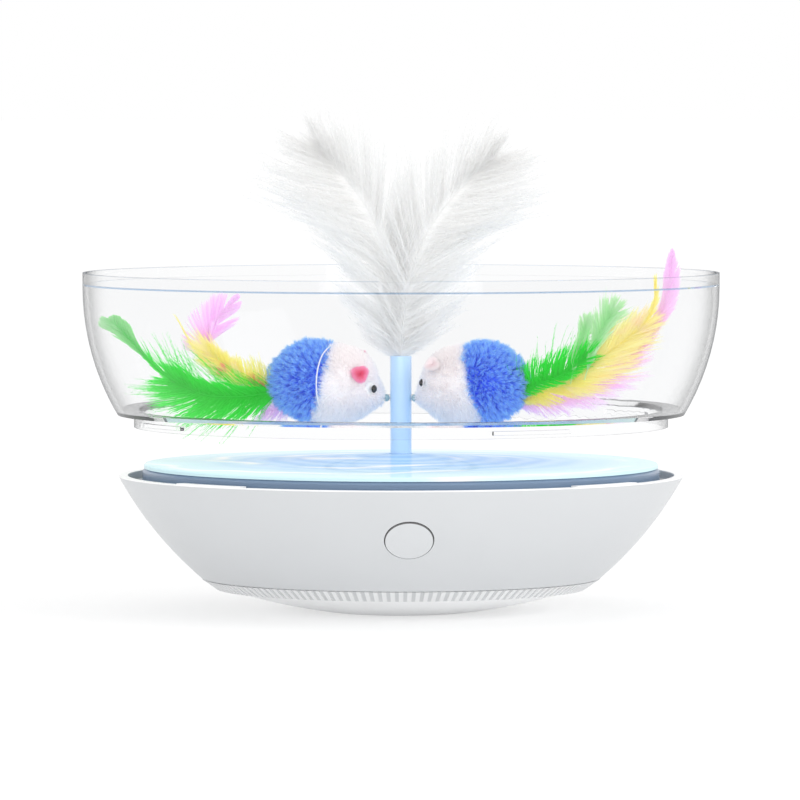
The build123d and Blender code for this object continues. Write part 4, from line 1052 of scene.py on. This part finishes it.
def make_fur(
    name, others, turn, slot_name, core, number, length, width, flow, inset, clumps, gather, ruffle
):
    """A plush skin over a stuffed core, which stands for one node. No fur grows within a gap of the others.
    The strands of a clump gather towards one tip."""
    skin, normals, quads = remeshed(frame["nodes"][name], plush_voxel)
    places = slimmer(skin, turn, inset)
    corners = quads[random.integers(0, len(quads), number)]
    share = random.random((number, 2))
    right = share[:, :1]
    up = share[:, 1:]
    corner_shares = ((1 - right) * (1 - up), right * (1 - up), right * up, (1 - right) * up)

    def between(values):
        """Values at the roots, read between the corners of the face that each grows from."""
        return sum(values[corners[:, corner]] * corner_shares[corner] for corner in range(4))

    over = between(skin)
    keep = np.full(number, True)
    for neighbour, gap in others:
        keep &= clear_of(over, neighbour, gap)
    roots = between(places)[keep]
    facing = unit(between(normals))[keep]
    number = len(roots)
    lengths = length * random.uniform(fur_shortest_share, fur_longest_share, number)[:, None]
    aim = unit(facing + flow + random.normal(0, strand_stray, facing.shape))
    tips = roots + aim * lengths
    heads = random.choice(number, clumps, replace=False)
    nearest = nearest_of(roots[heads], roots)
    sway = random.normal(0, clump_stray, (clumps, 3)) * length
    tips = tips + ((tips[heads] + sway)[nearest] - tips) * gather
    middle = (roots + tips) / 2 + facing * lengths * fur_bow
    paths = np.stack([roots, middle, tips], axis=1)
    widths = tapering(number, width, (1.0, 0.8, 0.3))
    strands = Strands()
    strands.flat(paths, widths, facing + random.normal(0, ruffle, (number, 3)))
    strands.gather(places, quads, np.zeros((0, 3), int), np.full(len(places), core_reach), second_finish)
    piece = strands.piece(name + "_plush", [slot_name, core], "turntable", slot_name)
    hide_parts(name)


def separate(node):
    """The corners of each solid of a node, one group for each."""
    mesh = node.data
    links = {index: set() for index in range(len(mesh.vertices))}
    for edge in mesh.edges:
        one, other = edge.vertices
        links[one].add(other)
        links[other].add(one)
    left = set(links)
    groups = []
    while left:
        stack = [left.pop()]
        group = []
        while stack:
            here = stack.pop()
            group.append(here)
            near = links[here] & left
            left -= near
            stack.extend(near)
        groups.append(np.array([list(mesh.vertices[index].co) for index in group]))
    return groups


ear_strands = 900
ear_half_width = 2.2 * mm
ear_strand_width = 0.16 * mm
ear_pile_height = 0.3 * mm
ear_tip_droop = 0.1 * mm

# How far an ear is turned to face straight out of the mouse's side, as a share, the least and most
# that its strands rise, and their shortest and longest lengths in millimetres
ear_turn_share = 0.75
ear_least_rise = 0.15
ear_most_rise = 0.9
ear_shortest = 0.6
ear_longest = 1.8

# The felt's colour changes from ring to ring, and a little along each strand
ear_rings = 3
ear_ring_change = 0.35
ear_strand_change = 0.3


def make_ears(side, turn, finish):
    """Round felt ears: short pile that spreads from the middle of each to its edge, coloured in rings."""
    name = side + "_mouse_ears"
    along = heading_out(turn)
    strands = Strands()
    for group in separate(frame["nodes"][name]):
        middle = (group.min(axis=0) + group.max(axis=0)) / 2
        out = middle - mouse_middle(turn)
        out = unit(out - along * out.dot(along) * ear_turn_share)
        across = unit(np.cross(out, along))
        around = random.uniform(0, 2 * math.pi, ear_strands)[:, None]
        away = along * np.cos(around) + across * np.sin(around)
        start = np.sqrt(random.random((ear_strands, 1)))
        roots = middle + away * start * ear_half_width + out * ear_pile_height
        lift = random.uniform(ear_least_rise, ear_most_rise, (ear_strands, 1)) * (1.3 - start)
        length = random.uniform(ear_shortest, ear_longest, (ear_strands, 1))
        length = length * (1.0 + 0.25 * np.cos(around * 3 + 1)) * mm
        aim = unit(away + out * lift)
        tips = roots + aim * length - out * ear_tip_droop
        paths = np.stack([roots, roots + aim * length * 0.55, tips], axis=1)
        widths = tapering(ear_strands, ear_strand_width, (1.0, 0.9, 0.4))
        for ring in range(ear_rings):
            inside = (start[:, 0] * ear_rings).astype(int) == ring
            facing = np.tile(out, (inside.sum(), 1))
            reach = ring * ear_ring_change
            tip_reach = reach + ear_strand_change
            strands.flat(paths[inside], widths[inside], facing, reach_from=reach, reach_to=tip_reach)
    piece = strands.piece(name + "_felt", [finish], "turntable", "pink_felt")
    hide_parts(name)


# The left mouse lies on the post's other side, so it heads half a turn from the plane of its tail
mice = (("left", left_turn + math.pi, "pink_felt"), ("right", right_turn, "faint_felt"))
for side, turn, ear_finish in mice:
    rump = side + "_mouse_rump"
    head = side + "_mouse_head"
    eyes = side + "_mouse_eyes"
    make_fur(
        rump, others=((head, 0.5 * mm),), turn=turn, slot_name="blue_plush", core="blue_core",
        number=30000, length=4.4 * mm, width=0.13 * mm, flow=heading_out(turn) * 0.3, inset=2.8 * mm,
        clumps=650, gather=0.42, ruffle=0.8,
    )
    make_fur(
        head, others=((rump, 0.5 * mm), (eyes, 1.2 * mm)), turn=turn, slot_name="white_plush",
        core="white_core", number=26000, length=2.6 * mm, width=0.13 * mm,
        flow=heading_out(turn) * 0.5, inset=1.5 * mm, clumps=2500, gather=0.2, ruffle=0.5,
    )
    make_ears(side, turn, ear_finish)


# Tying thread round the left mouse, between its head and rump: spots of the photograph,
# with how far each lies behind the mouse's middle plane in millimetres
thread_spots = (
    (331, 345, -5.5), (323, 354, -11), (318.5, 366, -14.5),
    (316.5, 380, -15.5), (317, 396, -14.5), (320, 410, -10),
)
thread_points = 60
thread_radius = 0.3 * mm
thread = Strands()
thread_places = [spot(column, row, left_turn, off * mm) for column, row, off in thread_spots]
thread_radii = np.full(thread_points, thread_radius)
thread.round(smooth_line(thread_places, thread_points), thread_radii, reach=1.0)
thread.piece("left_mouse_thread", ["white_plush"], "turntable", "white_plush")


# Light and floor
world_light = 1.0
floor_half_side = 40.0


def seen_directly(start):
    """1 for what the camera, gloss and clear plastic show, and 0 for what lights the object."""
    camera = light_path(start, "Camera")
    return camera.larger(light_path(start, "Glossy")).larger(light_path(start, "Transmission"))


def make_world():
    """White where it is seen, and as bright as world_light on the object."""
    world = bpy.data.worlds.new("studio")
    world.use_nodes = True
    world.node_tree.nodes.clear()
    bpy.context.scene.world = world
    start = Wire(world.node_tree)
    lit = start.node("ShaderNodeBackground", (), {"Color": white, "Strength": world_light})
    shown = start.node("ShaderNodeBackground", (), {"Color": white, "Strength": 1.0})
    mixed = blend(start, seen_directly(start), lit, shown)
    start.node("ShaderNodeOutputWorld", (), {"Surface": mixed})


def make_lamp(name, place, aim, size, power):
    """A soft lamp, kept out of reflections, where it would leave a bright patch on the clear bowl."""
    data = bpy.data.lights.new(name, "AREA")
    data.shape = "RECTANGLE"
    data.size, data.size_y = size
    data.energy = power
    lamp = placed(name, data)
    lamp.location = place
    lamp.rotation_euler = (Vector(aim) - Vector(place)).to_track_quat("-Z", "Y").to_euler()
    lamp.visible_glossy = False


def floor_surface(start):
    """Plain white. Where it is seen, a glow lifts it to the background's white. A shadow still shows."""
    cloud = noise(start, 8.0)
    colour = cloud.tint(rgb(0.94, 0.94, 0.94), rgb(0.96, 0.96, 0.96))
    plain = principled(start, Base_Color=colour, Roughness=0.8)
    shown = start.node("ShaderNodeBsdfDiffuse", (), {"Color": rgb(0.45, 0.45, 0.45)})
    glow = start.node("ShaderNodeEmission", (), {"Color": white, "Strength": 0.57})
    bright = start.node("ShaderNodeAddShader", (), {0: shown, 1: glow})
    return blend(start, seen_directly(start), plain, bright)


def make_floor():
    mesh = bpy.data.meshes.new("floor")
    half = floor_half_side
    corners = [(-half, -half, 0), (half, -half, 0), (half, half, 0), (-half, half, 0)]
    mesh.from_pydata(corners, [], [(0, 1, 2, 3)])
    material("floor_white", floor_surface)
    mesh.materials.append(finishes["floor_white"])
    floor = placed("floor", mesh)


make_world()
make_floor()
make_lamp("key", place=(2.0, -1.1, 1.3), aim=(0, 0, 0.08), size=(1.4, 1.4), power=14.0)
make_lamp("low", place=(0, -2.2, 0.12), aim=(0, 0, 0.03), size=(2.4, 0.3), power=9.0)

# Enough bounces to see through the bowl and into the plumes
cycles = bpy.context.scene.cycles
cycles.max_bounces = 24
cycles.diffuse_bounces = 14
cycles.transmission_bounces = 16
cycles.transparent_max_bounces = 32
bpy.context.scene.view_settings.view_transform = "Standard"
